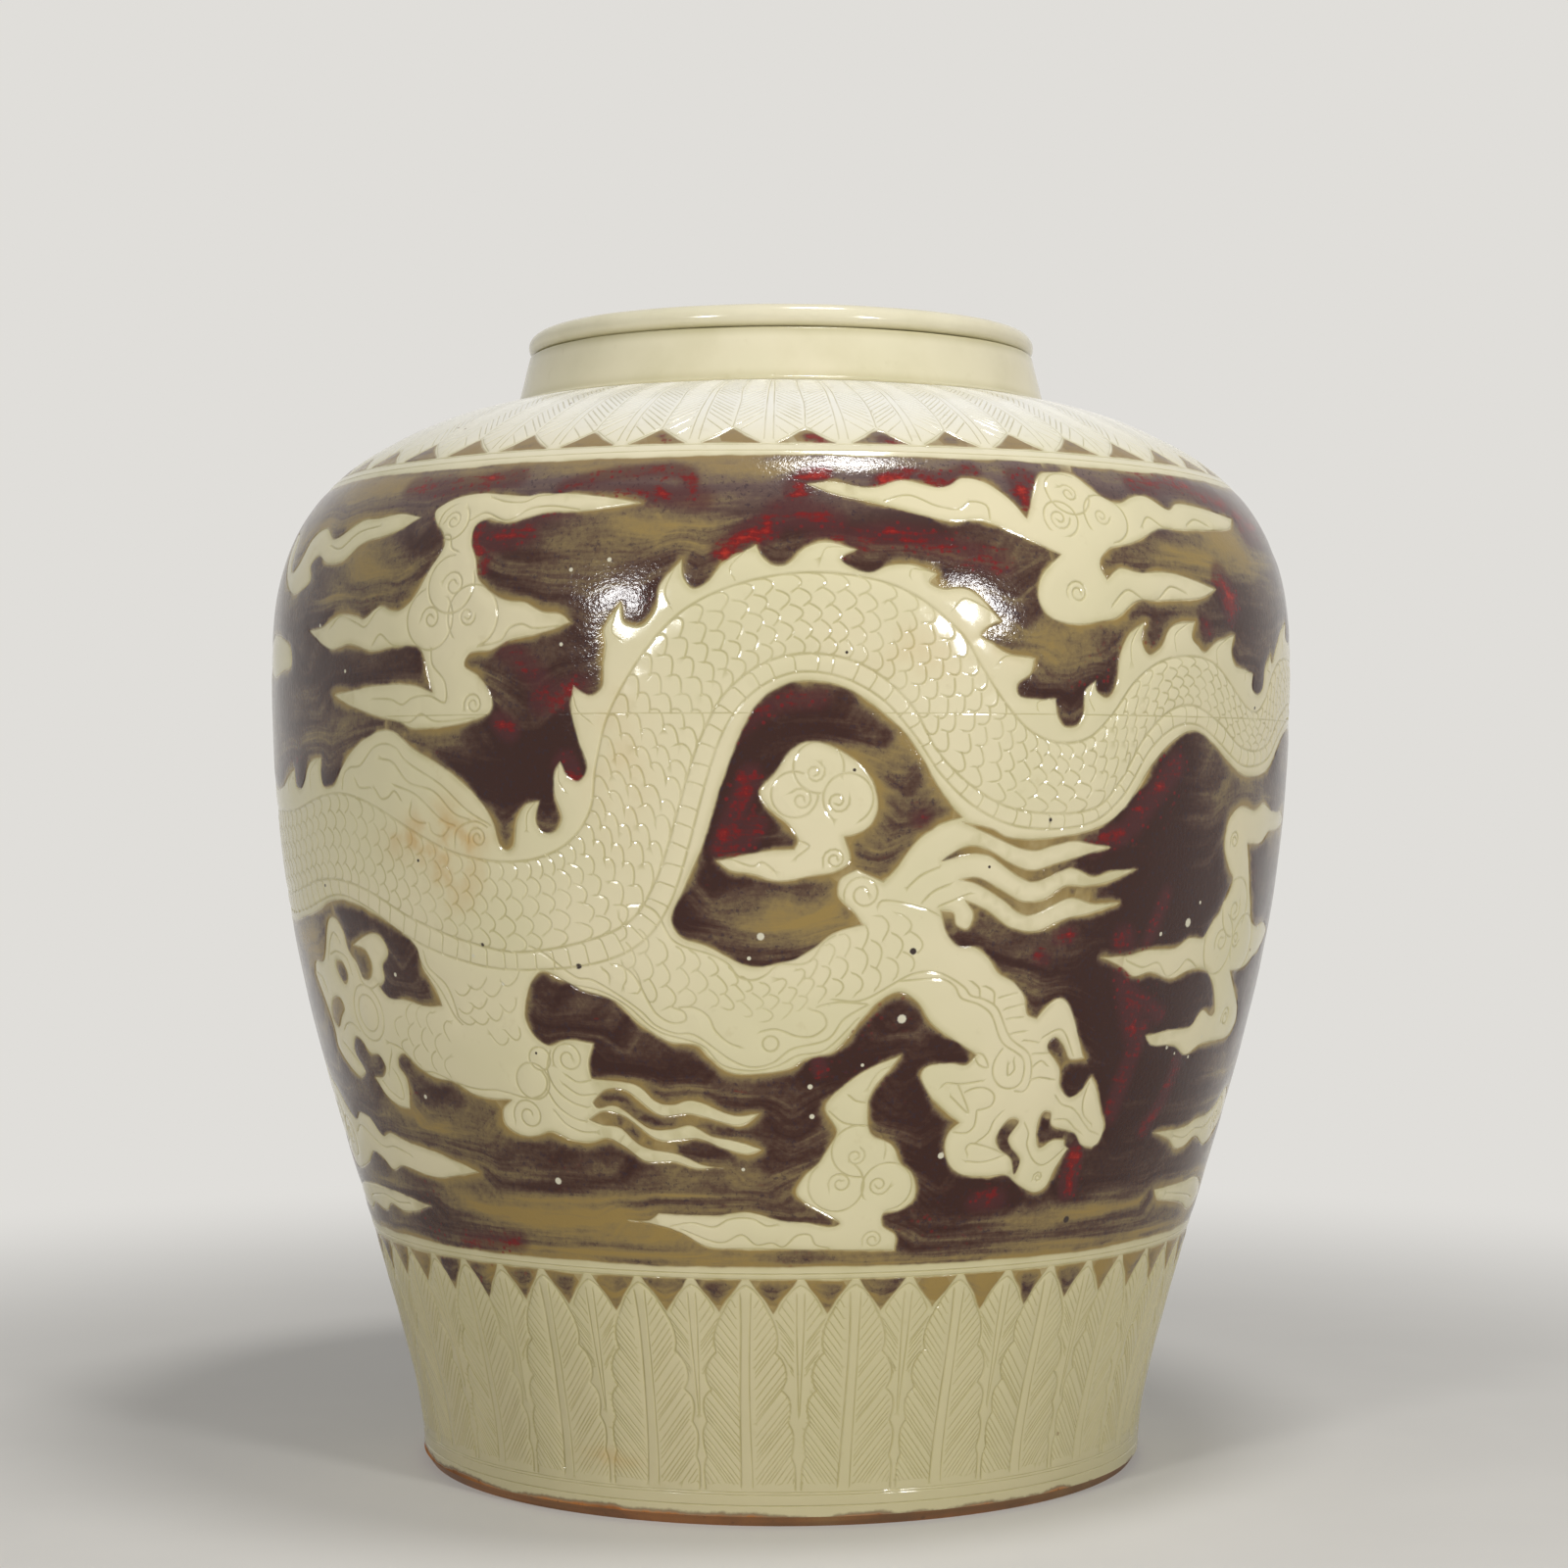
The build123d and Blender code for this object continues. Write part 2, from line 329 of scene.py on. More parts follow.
# Single curls: middle and radius
CURLS = [
    (-120.5, 372.5, 4.5), (116.5, 414, 5), (20, 315, 4.5), (42, 153.5, 5), (216, 320.5, 4), (238, 245, 5),
    (31, 302, 7.5), (-112, 209, 8), (-121, 322.5, 4.5), (-89, 235, 7.5), (120.5, 180, 2.8),
]
WAVES = [
    [(-254, 190), (-244, 194), (-220, 186), (-208, 187), (-194, 184)],
    [(212, 192), (224, 190), (236, 193), (250, 192.5), (260, 196)],
    [(-262, 157), (-236, 160), (-222, 158), (-208, 159)],
    [(222, 162.5), (254, 158), (268, 155)],
    [(-218, 438), (-208, 436), (-196, 442), (-182, 444)],
    [(-128, 443.5), (-122, 446.3), (-110, 442.5), (-101, 447), (-92, 448), (-79, 446)],
    [(-121, 453.5), (-113, 451), (-104, 450.5), (-99, 453), (-92, 453.5)],
    [(-142, 437.5), (-137, 437.5), (-134.5, 432), (-131, 430.5)],
    [(-141, 394), (-140.5, 388), (-134, 381), (-134, 373.5), (-142, 376), (-151, 375.5), (-157, 373),
     (-163, 375), (-175, 375.5)],
    [(-160, 366.5), (-153, 366.3), (-146.5, 369.3), (-140, 366.5), (-120, 367.5)],
    [(-175, 396), (-170, 400), (-163, 395.8), (-156, 395.2)],
    [(-206, 404), (-199, 408), (-186, 405), (-180, 403.2), (-173, 409), (-169, 410.5)],
    [(-118, 394), (-108, 396), (-104, 400.5), (-99, 401.8), (-94, 400.2), (-84, 400.8)],
    [(40, 449), (50, 451.7), (61, 447), (70, 446), (75, 449.5), (81.5, 448), (82, 442)],
    [(156, 443), (161, 446.8), (169, 443), (176, 442.5)],
    [(186, 445), (194, 448), (203, 446)],
    [(133, 410), (141, 415.8), (150, 412.5), (157, 412.7), (165, 418), (175, 416)],
    [(-18, 315), (-10, 312.5), (-7, 314), (-2, 310.5)],
    [(7, 322), (10.5, 320), (6, 316)],
    [(-45, 158.5), (-27, 152.5), (-17.5, 156.5), (-11, 151.5), (-4, 152.5), (1, 150.5), (7.5, 156.3),
     (13, 156.5), (16, 151.5), (22, 149.8)],
    [(-50, 160), (-40, 162), (-30, 160.3), (-23, 164), (-13, 164.5), (-6, 161), (-2, 161.5)],
    [(45, 233), (40, 230.5), (36, 224)],
    [(28, 221), (31, 218.5), (35, 217.5)],
    [(20, 214), (26, 209), (35, 207.3)],
    [(150, 273.5), (160, 270.5), (169, 272), (177, 266), (184, 268.5), (189, 272.5), (198, 269)],
]
print("clouds:", len(CLOUDS), "outlines with", sum(map(len, CLOUDS)), "places")

# %% The same clouds again on the far side of the jar
# Number of the cloud, its shift round and up, its size, and whether it is mirrored
FAR_CLOUDS = [
    (0, 630, 0, 1.0, False), (7, 103, 246, 1.0, False), (6, 392, 10, 0.9, False),
    (9, 628, -10, 1.0, False), (5, 606, 30, 0.8, False), (3, -662, 137, 0.7, False),
    (6, -800, 38, 1.0, False), (0, -694, -200, 1.0, True), (7, -631, -33, 1.0, False),
    (8, -677, 300, 1.0, False), (8, 395, 301, 0.9, False),
]
far_outlines, far_lobes, far_curls, far_waves = [], [], [], []
for number, dx, dy, size, mirror in FAR_CLOUDS:
    shape = np.array([p[:2] for p in CLOUDS[number]])
    least, most = shape.min(0), shape.max(0)

    def belongs(x, y):
        return least[0] < x < most[0] and least[1] < y < most[1]

    way = (dx, dy, size, mirror)
    far_outlines.append(moved(CLOUDS[number], *way))
    for x, y, radius, inner_x, inner_y, inner_radius in LOBES:
        if belongs(x, y):
            outer, inner = moved([(x, y), (inner_x, inner_y)], *way)
            far_lobes.append((*outer, radius * size, *inner, inner_radius * size))
    far_curls += [(*moved([(x, y)], *way)[0], radius * size) for x, y, radius in CURLS if belongs(x, y)]
    far_waves += [moved(wave, *way) for wave in WAVES if belongs(*wave[0])]
print("far side:", len(far_outlines), "clouds,", len(far_lobes), "lobes")

# %% [markdown]
# ## The dragon
# The body swings round the jar like a rope, with fins along its back, rows of scales, a banded belly
# and four-clawed feet with tufts of hair at the elbows. Here is its outline: along the back from left
# to right, then back along the belly and round the legs. Windows are holes where paint shows through.

# %% Outline of the dragon
BACK_EDGE = [
    (-292, 341), (-270, 342), (-258, 346), (-247, 349, 1), (-246, 342), (-240, 341), (-235, 344),
    (-228, 351), (-216, 353, 1), (-217, 347), (-215, 342), (-206, 342), (-199, 349), (-188, 357),
    (-174, 362.5), (-163, 363), (-152, 356.5), (-138, 350.5), (-129, 345), (-118, 336), (-113, 328),
    (-110.5, 319.5), (-107.5, 317.7), (-104.5, 319.5), (-102.5, 329), (-98, 335.5), (-92.5, 336.5, 1),
    (-94.3, 329), (-91.5, 325), (-86, 325.5), (-83.3, 330.5), (-86, 339), (-86, 346), (-83.2, 351, 1),
    (-80.5, 346), (-76, 344.3), (-72.6, 349), (-76, 359), (-78.6, 371), (-77.5, 379.3, 1), (-71, 375.5),
    (-66.5, 378), (-65.5, 387), (-64.5, 394), (-65.3, 399), (-59, 408.5, 1), (-57.5, 401.5), (-51, 400.3),
    (-46, 406), (-44.5, 415), (-36.5, 424.5, 1), (-35.8, 418), (-32, 413.8), (-27, 416), (-21, 423),
    (-9, 430.2, 1), (-6.3, 425), (-2, 422.2), (3, 423), (9, 429), (17, 431.3), (28, 428.5, 1), (22.5, 425),
    (26, 421.8), (33, 420), (40, 422.6), (48, 423), (58, 419.5, 1), (55, 416.5), (60, 414), (70, 414),
    (83, 402.5, 1), (77, 400), (74.5, 397), (79, 394.5), (85, 391), (96.5, 389, 1), (95, 383.5),
    (89.5, 379.5), (90, 375.8), (97, 374.4), (106, 374.5, 1), (107, 367.5), (110, 364.2), (115.5, 364.5),
    (118.5, 369), (119, 377.5), (124.5, 381.8, 1), (124.5, 378), (129.5, 375.3), (134, 380), (135.5, 390.5),
    (141, 399.5), (149, 403.8, 1), (147.5, 397), (151, 392), (157.5, 394.5), (164, 402.5), (179, 405, 1),
    (177, 399), (181, 395.8), (185.5, 393.3), (192, 397), (208.5, 401, 1), (206, 394.5), (209, 389.2),
    (218, 388), (226.5, 386.5, 1), (225.5, 381), (231, 378.4), (237.5, 381), (240, 389), (247, 394.5, 1),
    (249, 391.5), (256, 397.5), (266, 404.5), (281, 409, 1), (279, 403), (287, 401.5),
]
BELLY_EDGE_RIGHT = [
    (290, 366), (268, 361), (247, 348.5), (219, 346.5), (180, 363.3), (166, 359.5), (155, 351), (134, 329),
    (90, 322.5), (80, 326.4), (68.5, 328.8, 1),
]
STREAMERS_RIGHT = [
    (98, 317.8), (108, 320), (116, 321.2), (134, 318.8, 1), (110, 313), (99, 310.4), (88, 313.6),
    (79, 318.8), (71, 319.8), (61, 314.3, 1), (69, 316.6), (79, 316.3), (98, 306.2), (116, 311),
    (127, 307.5), (137, 309.6), (149, 310, 1), (136, 305.8), (124, 304), (114, 304.2), (104, 299),
    (95, 298.8), (75, 307.8), (68, 307.3, 1), (76, 305.4), (86, 299.8), (97, 293), (117, 299.3),
    (128, 296.8), (141, 297, 1), (127, 293.4), (114, 291), (102, 286.7), (91, 288.4), (80, 295.4),
    (71, 299.3, 1), (74.6, 294), (72.5, 288.3), (68, 290), (66.5, 294.8), (61, 295.8, 1),
]
LEG_RIGHT = [
    (64, 287.5), (69, 282), (76, 281.2), (83, 276), (87, 270.8), (95, 266.5), (100, 260.5), (102.5, 253),
    (107, 251.3, 1), (112, 257), (117, 259.4), (122, 256.5), (134, 233.6, 1), (127, 233.2), (122, 239.5),
    (117.5, 243), (114.3, 240), (122, 229.5), (124, 221.5), (130, 216.3), (136, 218.5), (140.5, 224.5, 1),
    (145.5, 218), (150.5, 208), (154.2, 201), (152.5, 194), (149, 192, 1), (142, 194), (137, 199.3),
    (123, 204.5), (121.5, 210), (117.5, 210.6), (115.3, 204), (118.3, 194), (125, 197), (131.5, 196.7, 1),
    (132.3, 194.5), (135, 192.6, 1), (129.5, 184), (126, 175), (120, 172.5), (111, 176.5), (103, 182),
    (92, 182), (80, 183.7), (73.5, 189.5), (71, 198), (73, 204), (77, 207.5, 1), (62, 220.5), (58, 229),
    (60, 232.5), (70, 233.8), (77, 232.8), (81.5, 237, 1), (61, 250.5), (54.5, 259), (47, 263.6),
    (38, 259.5),
]
HIP_EDGE = [
    (21, 239.7), (10, 236.6), (2, 232), (-20, 230.5), (-28, 236.5), (-33, 241.7), (-45, 243.4),
    (-56, 250.3), (-66, 259.5), (-80, 263.8), (-97.5, 270.6), (-106.6, 253), (-103.5, 244.3), (-97, 240.2),
    (-89, 243), (-77, 241.8, 1), (-80, 233.5), (-79.6, 226.7, 1),
]
STREAMERS_LEFT = [
    (-60, 224.6), (-52, 217.6), (-45, 216.4), (-37, 218.4), (-18, 211.8), (-9, 213, 1), (-17, 208),
    (-38, 212.6), (-50, 211.4), (-65, 222.2), (-74, 222), (-80.3, 216.4, 1), (-78.5, 214), (-70, 215.2),
    (-55, 205.5), (-46, 205.6), (-38, 207.4), (-29, 202.8), (-19, 200.6), (-8.5, 197, 1), (-14, 195),
    (-24, 197.2), (-35, 201.5), (-52, 200.7), (-67, 211), (-76, 212.6), (-83, 208.6, 1), (-77, 206.4),
    (-69, 205.6), (-60, 197.6), (-42, 193.6), (-34, 189.8), (-25, 188.6, 1), (-36, 187.8), (-46, 190.8),
    (-59, 190.6), (-67, 196.4), (-75, 200.5), (-83, 198.6), (-92, 199),
]
LEG_LEFT = [
    (-102, 202.4), (-110, 199.8), (-118, 199.8), (-125, 204.5), (-125, 210.8), (-119.8, 215.6, 1),
    (-139, 216.5), (-150, 221), (-164, 223.3), (-174, 227.7), (-181, 232.3), (-185.5, 230, 1),
    (-186.5, 226.5), (-182.8, 221), (-185.5, 207.3, 1), (-194, 208), (-203, 212), (-210, 220, 1),
    (-201.5, 220.8), (-198, 225.5), (-201, 230.3), (-209, 231), (-214, 236), (-220, 237.6), (-225.3, 231),
    (-218.5, 221.6, 1), (-226, 218.8), (-245.5, 231), (-244.5, 239), (-247.5, 249), (-256.5, 263.5, 1),
    (-252, 268.5), (-239, 270), (-224.5, 288), (-217, 288.3), (-211.5, 283), (-210, 276.3), (-204.5, 270),
    (-201, 264), (-195, 264.3), (-191.5, 270), (-195, 276.4), (-205, 278, 1), (-186, 283.7),
    (-179.5, 279.8), (-178.3, 275.5), (-183.6, 270.5), (-184.3, 264.5), (-189.5, 261.3, 1), (-184, 257),
    (-172, 256.4), (-160, 254.3), (-149.5, 255, 1),
]
BELLY_EDGE_LEFT = [
    (-152, 262), (-158, 270.5), (-160.5, 279.5), (-188, 292.5), (-206, 296.3), (-220, 295.8), (-236, 291.2),
    (-292, 285),
]
WINDOWS = [
    [(10, 380.3), (24, 377.5), (46, 361), (61, 338.5), (68.5, 330.5, 1), (60, 328), (50, 321), (43, 311),
     (38.5, 306.4, 1), (28.5, 311, 1), (22.5, 307.5), (21.8, 301.5), (28, 295), (31.3, 290.3, 1),
     (20, 287.3), (12, 281), (4, 276.8), (-11, 274.3), (-29, 282.3), (-38, 285.5), (-41.5, 292),
     (-37, 302.5), (-29.3, 319, 1), (-15, 360), (-8, 372), (0, 378)],
    [(101, 208.6), (105.7, 207), (101.5, 199.5), (104, 194.5), (109.3, 189), (107.5, 182.3), (104.5, 189.5),
     (97.5, 195), (95.3, 199.5)],
    [(-224, 270.5), (-218, 270.3), (-214.8, 265), (-219, 260.3), (-225.3, 267)],
    [(-227, 253.3), (-225.2, 250), (-231, 245.8), (-238, 240.6), (-242.5, 244.5), (-240, 251),
     (-233, 254.5)],
]

# %% Tail, neck and head, on the far side
TAIL = [
    (296, 401), (304, 402), (314, 405), (324, 408, 1), (322, 400), (328, 394), (336, 393), (346, 394),
    (356, 396, 1), (353, 388), (358, 381), (366, 378), (376, 378), (386, 380, 1), (382, 371), (386, 364),
    (394, 360), (404, 358), (414, 359, 1), (410, 350), (414, 343), (422, 339), (432, 337), (443, 338, 1),
    (440, 331), (445, 327), (454, 325), (464, 326), (474, 328, 1), (473, 323), (480, 322.5), (488, 324),
    (496, 331), (500, 338), (505, 344, 1), (508, 338), (514, 340), (520, 347), (524, 356), (530, 363, 1),
    (533, 356), (539, 357), (546, 363), (552, 370), (559, 377, 1), (561, 370), (567, 370), (576, 376),
    (588, 384), (602, 388), (618, 398, 1), (609, 386), (600, 380), (592, 375), (606, 376), (622, 377),
    (642, 384, 1), (630, 372), (616, 368), (602, 367), (594, 365), (606, 360), (620, 357), (636, 350, 1),
    (618, 349), (602, 351), (590, 356), (580, 356), (570, 351), (562, 347), (551, 337), (539, 325.5),
    (527, 313.5), (514, 304), (499, 298), (482, 297), (464, 299), (446, 300), (430, 304), (414, 310),
    (398, 318), (382, 328), (366, 339), (350, 349), (334, 357), (318, 363), (304, 366),
]
NECK_AND_HEAD = [
    (-326, 290), (-340, 298), (-350, 309), (-366, 334), (-386, 347), (-392, 344), (-398, 333, 1),
    (-402, 343), (-410, 345), (-417, 334, 1), (-421, 345), (-442, 345), (-454, 347), (-463, 352),
    (-469, 360, 1), (-460, 362), (-446, 361), (-436, 363), (-427, 368, 1), (-444, 374), (-448, 367, 1),
    (-452, 374), (-462, 375), (-473, 371, 1), (-480, 377), (-489, 381), (-499, 386), (-510, 385),
    (-522, 389), (-536, 402, 1), (-511, 391), (-499, 393), (-489, 391), (-484, 397), (-476, 401),
    (-466, 398), (-456, 399), (-448, 404), (-441, 411), (-432, 417, 1), (-430, 410), (-422, 412),
    (-410, 423), (-394, 431), (-380, 435), (-368, 443, 1), (-373, 433), (-385, 426), (-402, 412),
    (-394, 411), (-385, 417, 1), (-386, 408), (-364, 412), (-350, 410), (-338, 413, 1), (-346, 404),
    (-358, 401), (-365, 398), (-342, 394), (-328, 398, 1), (-336, 388), (-348, 385), (-355, 382),
    (-334, 375), (-320, 376, 1), (-329, 368), (-338, 364), (-338, 358), (-332, 353), (-308, 356, 1),
    (-309, 347),
]
THIGH = [(24, 256), (15, 264), (20, 280), (34, 292), (52, 296)]
FAR_LEGS = [(350, 45, 1.0, False), (-290, 18, 1.0, True)]
DRAGON = (BACK_EDGE + TAIL + BELLY_EDGE_RIGHT + STREAMERS_RIGHT + LEG_RIGHT + HIP_EDGE + STREAMERS_LEFT
          + LEG_LEFT + BELLY_EDGE_LEFT + NECK_AND_HEAD)
far_legs = [moved(LEG_RIGHT + THIGH, *way) for way in FAR_LEGS]
print("dragon:", len(DRAGON), "places all round")

# %% [markdown]
# ## Lines cut inside the dragon
# A line parts the fins from the back, one parts the scales from the belly, and one more the belly's
# plates from its plain edge. The rest are folds of the legs, the curls of hair, the pads and claws.

# %% Lines of the body and the legs
BACK_LINE = [
    (-356, 374), (-348, 358), (-337, 346), (-321, 336), (-303, 332), (-285, 332), (-250, 332.5),
    (-205, 339.3), (-182, 336), (-132, 316.5), (-106, 313.6), (-90, 316.5), (-79, 323), (-71.5, 334),
    (-69, 350), (-62, 372), (-36, 405.5), (2, 419), (42, 415), (67, 398), (75, 386), (86, 371), (96, 362),
    (108, 358.2), (121, 360), (132, 368.5), (144, 381.5), (158, 389.3), (176, 391.8), (192, 389.5),
    (220, 373.3), (231, 371.5), (240, 376), (251, 387), (264, 393), (306, 393), (324, 388), (342, 380),
    (414, 335), (434, 326), (456, 318.5), (478, 316.5), (496, 320), (510, 329), (522, 340), (552, 361),
    (566, 366),
]
BELLY_LINE = [
    (-376, 357), (-364, 346), (-331, 307), (-317, 300), (-285, 297), (-250, 300.5), (-228, 304),
    (-206, 304.5), (-184, 300), (-160, 290.5), (-130, 281.8), (-104, 278.5), (-60, 290), (-48, 305),
    (-29, 360), (-19, 377), (-4, 387.5), (14, 390), (32, 385), (48, 371.5), (58, 355), (72, 342),
    (90, 333.5), (126, 334), (138, 344.5), (150, 361), (164, 371), (178, 373), (196, 367), (214, 358),
    (230, 356), (246, 359), (262, 369), (290, 376), (324, 370), (396, 328), (434, 311), (456, 306.5),
    (478, 306), (496, 309), (512, 316), (540, 339), (556, 351), (568, 358),
]
PLATE_LINE = [
    (-381, 350), (-369, 340), (-336, 301), (-322, 293.5), (-285, 289), (-250, 291.6), (-210, 298.4),
    (-190, 294.3), (-165, 283.3), (-138, 275), (-112, 271.3), (-72, 275), (-54, 283), (-42, 298),
    (-21, 361.5), (-10, 376), (4, 383), (20, 382.2), (36, 374.5), (49, 361), (60, 346), (74, 334),
    (92, 327), (124, 328.2), (139, 338), (154, 357), (168, 365), (182, 365.4), (216, 350.8), (232, 350.2),
    (248, 353.6), (264, 363), (290, 370), (322, 365.5), (376, 335), (412, 316), (432, 308), (479, 302.5),
    (514, 312.5), (560, 349.5), (570, 355.5),
]
FACE = [
    # Mouth, lips and cheek
    [(-427, 368), (-420, 366), (-414, 360), (-412, 352)],
    [(-480, 377), (-470, 380), (-440, 377), (-428, 373), (-420, 376), (-414, 383)],
    [(-460, 357), (-448, 355), (-434, 356), (-424, 360)],
    # Brow, horn and ear
    [(-456, 399), (-446, 396), (-438, 401), (-428, 404), (-416, 404), (-404, 410)],
    [(-414, 412), (-402, 420), (-386, 428), (-374, 435)],
    [(-400, 408), (-394, 406), (-388, 411)],
    # Locks of the mane
    [(-396, 402), (-384, 404), (-370, 404), (-344, 409)],
    [(-398, 392), (-384, 394), (-354, 390), (-338, 393)],
    [(-396, 380), (-382, 382), (-368, 379), (-332, 372)],
    [(-392, 368), (-366, 370), (-352, 364), (-342, 360)],
    [(-390, 358), (-382, 362), (-370, 362), (-360, 356)],
    # Fronds of the tail
    [(572, 366), (586, 376), (600, 383), (612, 392)],
    [(574, 362), (592, 369), (610, 372), (630, 378)],
    [(574, 358), (590, 360), (606, 355), (624, 352)],
]
FACE_CURLS = [(-437, 391, 6.5), (-474, 391, 5), (-408, 374, 9), (-402, 350, 6), (-392, 386, 6)]
FOLDS = [
    # Hip
    [(-101, 281), (-93.8, 277.5), (-81.3, 268.8), (-75, 268), (-56, 256), (-50, 250), (-42, 246.8),
     (-35, 246.5), (-19, 235.5), (-11, 233), (-3, 235), (4, 240.5), (19, 245), (25, 253), (34, 258.5)],
    [(-86, 266), (-72, 263.5), (-61, 257.5), (-50, 248), (-31, 241.5), (-24, 234), (-12, 231.4),
     (-2, 233.2), (7, 238), (17, 239.8), (31, 253.5)],
    [(-70, 272.5), (-68, 270.6), (-67.5, 268)],
    [(-66.3, 274.4), (-62.5, 273.8), (-57.5, 270), (-49, 254.5), (-42, 251), (-37.5, 252.5), (-38, 255.5),
     (-42, 257.3)],
    [(-40, 257.5), (-34, 257.5), (-28.5, 254), (-26, 248.5), (-21, 243.5), (-16, 241.5)],
    [(-8, 248), (-2, 249), (7, 246), (13, 246.2), (18, 250.5), (16.5, 255), (12, 257)],
    [(14, 258), (22, 259.8), (34, 259)],
    [(-58.8, 297.5), (-52.5, 297.7), (-47.5, 295), (-41, 284), (-26, 278.4), (-20, 275), (-16.3, 270.3),
     (-10.6, 268.8), (-5, 271.3), (-1.3, 274.6), (9, 275.3), (12.5, 277.5), (16, 283), (21, 286.5)],
]
LEG_FOLDS = [
    # Right leg
    [(20, 261.1), (31, 260.4), (52.2, 271.1), (62.2, 271.1), (73.3, 265), (76, 261.9), (82.2, 260),
     (87.8, 256.7), (95.6, 243.9), (106.1, 235.6), (107.8, 223.5), (105.4, 220.2), (101.1, 220.6)],
    [(47.8, 268.3), (64, 268.5), (69, 265.6), (72, 261), (80, 258), (85.6, 254), (92.2, 242), (103.3, 234),
     (103.6, 224.4), (100, 221.9), (94, 222.9), (90, 227.5), (89.5, 233.3), (92.5, 239)],
    [(96, 232), (97, 227.5), (99.5, 230), (98.5, 234)],
    [(80, 237.5), (84, 237), (87, 231.5), (83, 232.5), (80.5, 236)],
    [(67.2, 223.9), (68.9, 225.2), (75.6, 224.7), (85.6, 225.8)],
    [(74.4, 224.4), (80.6, 211.7), (71.5, 219.5)],
    [(77.8, 221), (82.2, 222.6), (87.8, 222.2), (91.7, 218.9), (91, 214.6), (84.4, 212.6, 1), (84, 205.6),
     (81, 202.8), (74.6, 203.3)],
    [(82.5, 192.8), (81.5, 195.5), (83, 197.6), (92.2, 195.6), (101.5, 191.6, 1), (91, 188.9),
     (82.2, 189.6)],
    [(96.7, 211.7), (93.3, 207.8), (91.1, 202.2), (86, 198.2)],
    [(108.5, 206), (111.5, 201), (111.5, 196), (117.5, 187.3), (122.5, 185.7), (132.6, 192.6)],
    [(122.3, 217.5), (126.7, 213.3), (133.3, 211), (145.6, 200.2), (150, 198.5)],
    [(140, 222), (138.3, 214), (140, 208), (146, 203)],
    [(124.4, 206.5), (131, 206), (136.5, 201.8), (140.5, 199.5)],
    [(111.1, 243.3), (120, 246.2), (128.5, 234.6)],
    # Short cuts along the shin
    [(76, 267.5), (79.5, 264.5), (80, 261.5)],
    [(82, 265.5), (86, 263), (86.5, 259)],
    [(89, 260.7), (96.5, 262.3)],
    [(92, 256), (100, 257.5)],
    [(93, 251.7), (100.5, 252.3)],
    [(96, 245.5), (102, 246.3)],
    [(102, 242.5), (109.5, 241.2)],
    [(107.3, 236.5), (117, 236.3)],
    [(108.3, 231), (112, 233.2), (115.5, 231)],
    [(108, 225), (112, 226), (118.5, 225)],
]
for way in FAR_LEGS:
    FOLDS += [moved(line, *way) for line in LEG_FOLDS]
FOLDS += LEG_FOLDS + FACE + [
    # Hair of the right thigh
    [(36.5, 297), (38, 299.3), (55.5, 296.1), (61, 293.5)],
    [(48, 304.5), (53, 309), (60, 312)],
    [(54, 299), (58, 302.8), (64.5, 305.6)],
    [(60.6, 297.2), (66.7, 299.6), (73, 302)],
    # Tufts of the left elbow
    [(-97, 238), (-99.5, 230), (-97, 222), (-90, 216), (-83, 214)],
    [(-101, 221), (-97, 214), (-90, 209), (-84, 207.5)],
    [(-99, 212), (-94, 206), (-87, 203), (-80, 203)],
    [(-80, 226), (-86, 225), (-91, 228)],
    [(-78, 220), (-86, 219.5), (-93, 224)],
    # Left leg
    [(-159.4, 278.8), (-158, 272.5), (-148.8, 261.3), (-142.5, 250), (-139.4, 247.5)],
    [(-155.6, 277.5), (-154.2, 271.3), (-145, 263.5), (-141.3, 252.5)],
    [(-190, 236.9), (-182.5, 235), (-170, 225.6), (-162.5, 225.2), (-150, 221.5), (-137.5, 219.4),
     (-126.3, 219.4), (-108.8, 216.9), (-102.5, 220), (-100.6, 225), (-102.5, 229.5)],
    [(-236, 233.8), (-227.5, 228.3), (-221.5, 223.3)],
    [(-204, 218.8), (-197.5, 213.8), (-189, 211.3), (-188, 218), (-190, 223)],
    [(-232, 272), (-226.5, 279.5), (-221.5, 282.5), (-217, 279.5)],
    [(-253, 264), (-246, 262), (-242.5, 257)],
    [(-231.3, 240), (-226.3, 242.8), (-220, 243.3), (-214.5, 240.5)],
    [(-206, 269.5), (-203, 262.5), (-196, 260), (-189, 262.5)],
    [(-229, 273), (-222, 274.5), (-213, 272), (-210.5, 265.5)],
    [(-196, 223), (-193.5, 227.5), (-190, 232)],
    # Flame over the left shoulder
    [(-198.8, 341.3), (-197.5, 346.3), (-192.5, 349.2), (-185, 350), (-175, 356.9), (-167.5, 358.3),
     (-161.3, 356.5), (-156.3, 352), (-137.5, 342.5), (-125, 332.8), (-115, 327.5)],
    [(-170, 352.5), (-163.8, 351.3), (-155, 343.6), (-141.3, 340), (-131.3, 331.5), (-124, 329.3)],
    [(-163, 342.4), (-151.3, 338.8), (-137.5, 328.9), (-131.3, 327)],
    [(-188.8, 344.8), (-186.5, 341.8), (-178.5, 341.5)],
    [(-175.5, 341), (-171.8, 337.2), (-167.5, 337.8), (-163.5, 340.2), (-160, 337)],
    [(-154, 335.5), (-155.3, 331), (-151.3, 328.3), (-146.5, 328)],
    [(-145, 328.2), (-143.6, 324.4), (-138.5, 323), (-134.5, 326.4)],
    [(-132.3, 319.5), (-131, 325.3), (-122, 328.8), (-116, 326.5)],
]
PADS = [(-202.5, 249, 12.2), (-202.5, 249, 8), (-102.5, 234.5, 5), (-107.5, 224.5, 8), (-4, 243, 3.2)]
print("folds and pads:", len(FOLDS) + len(PADS))

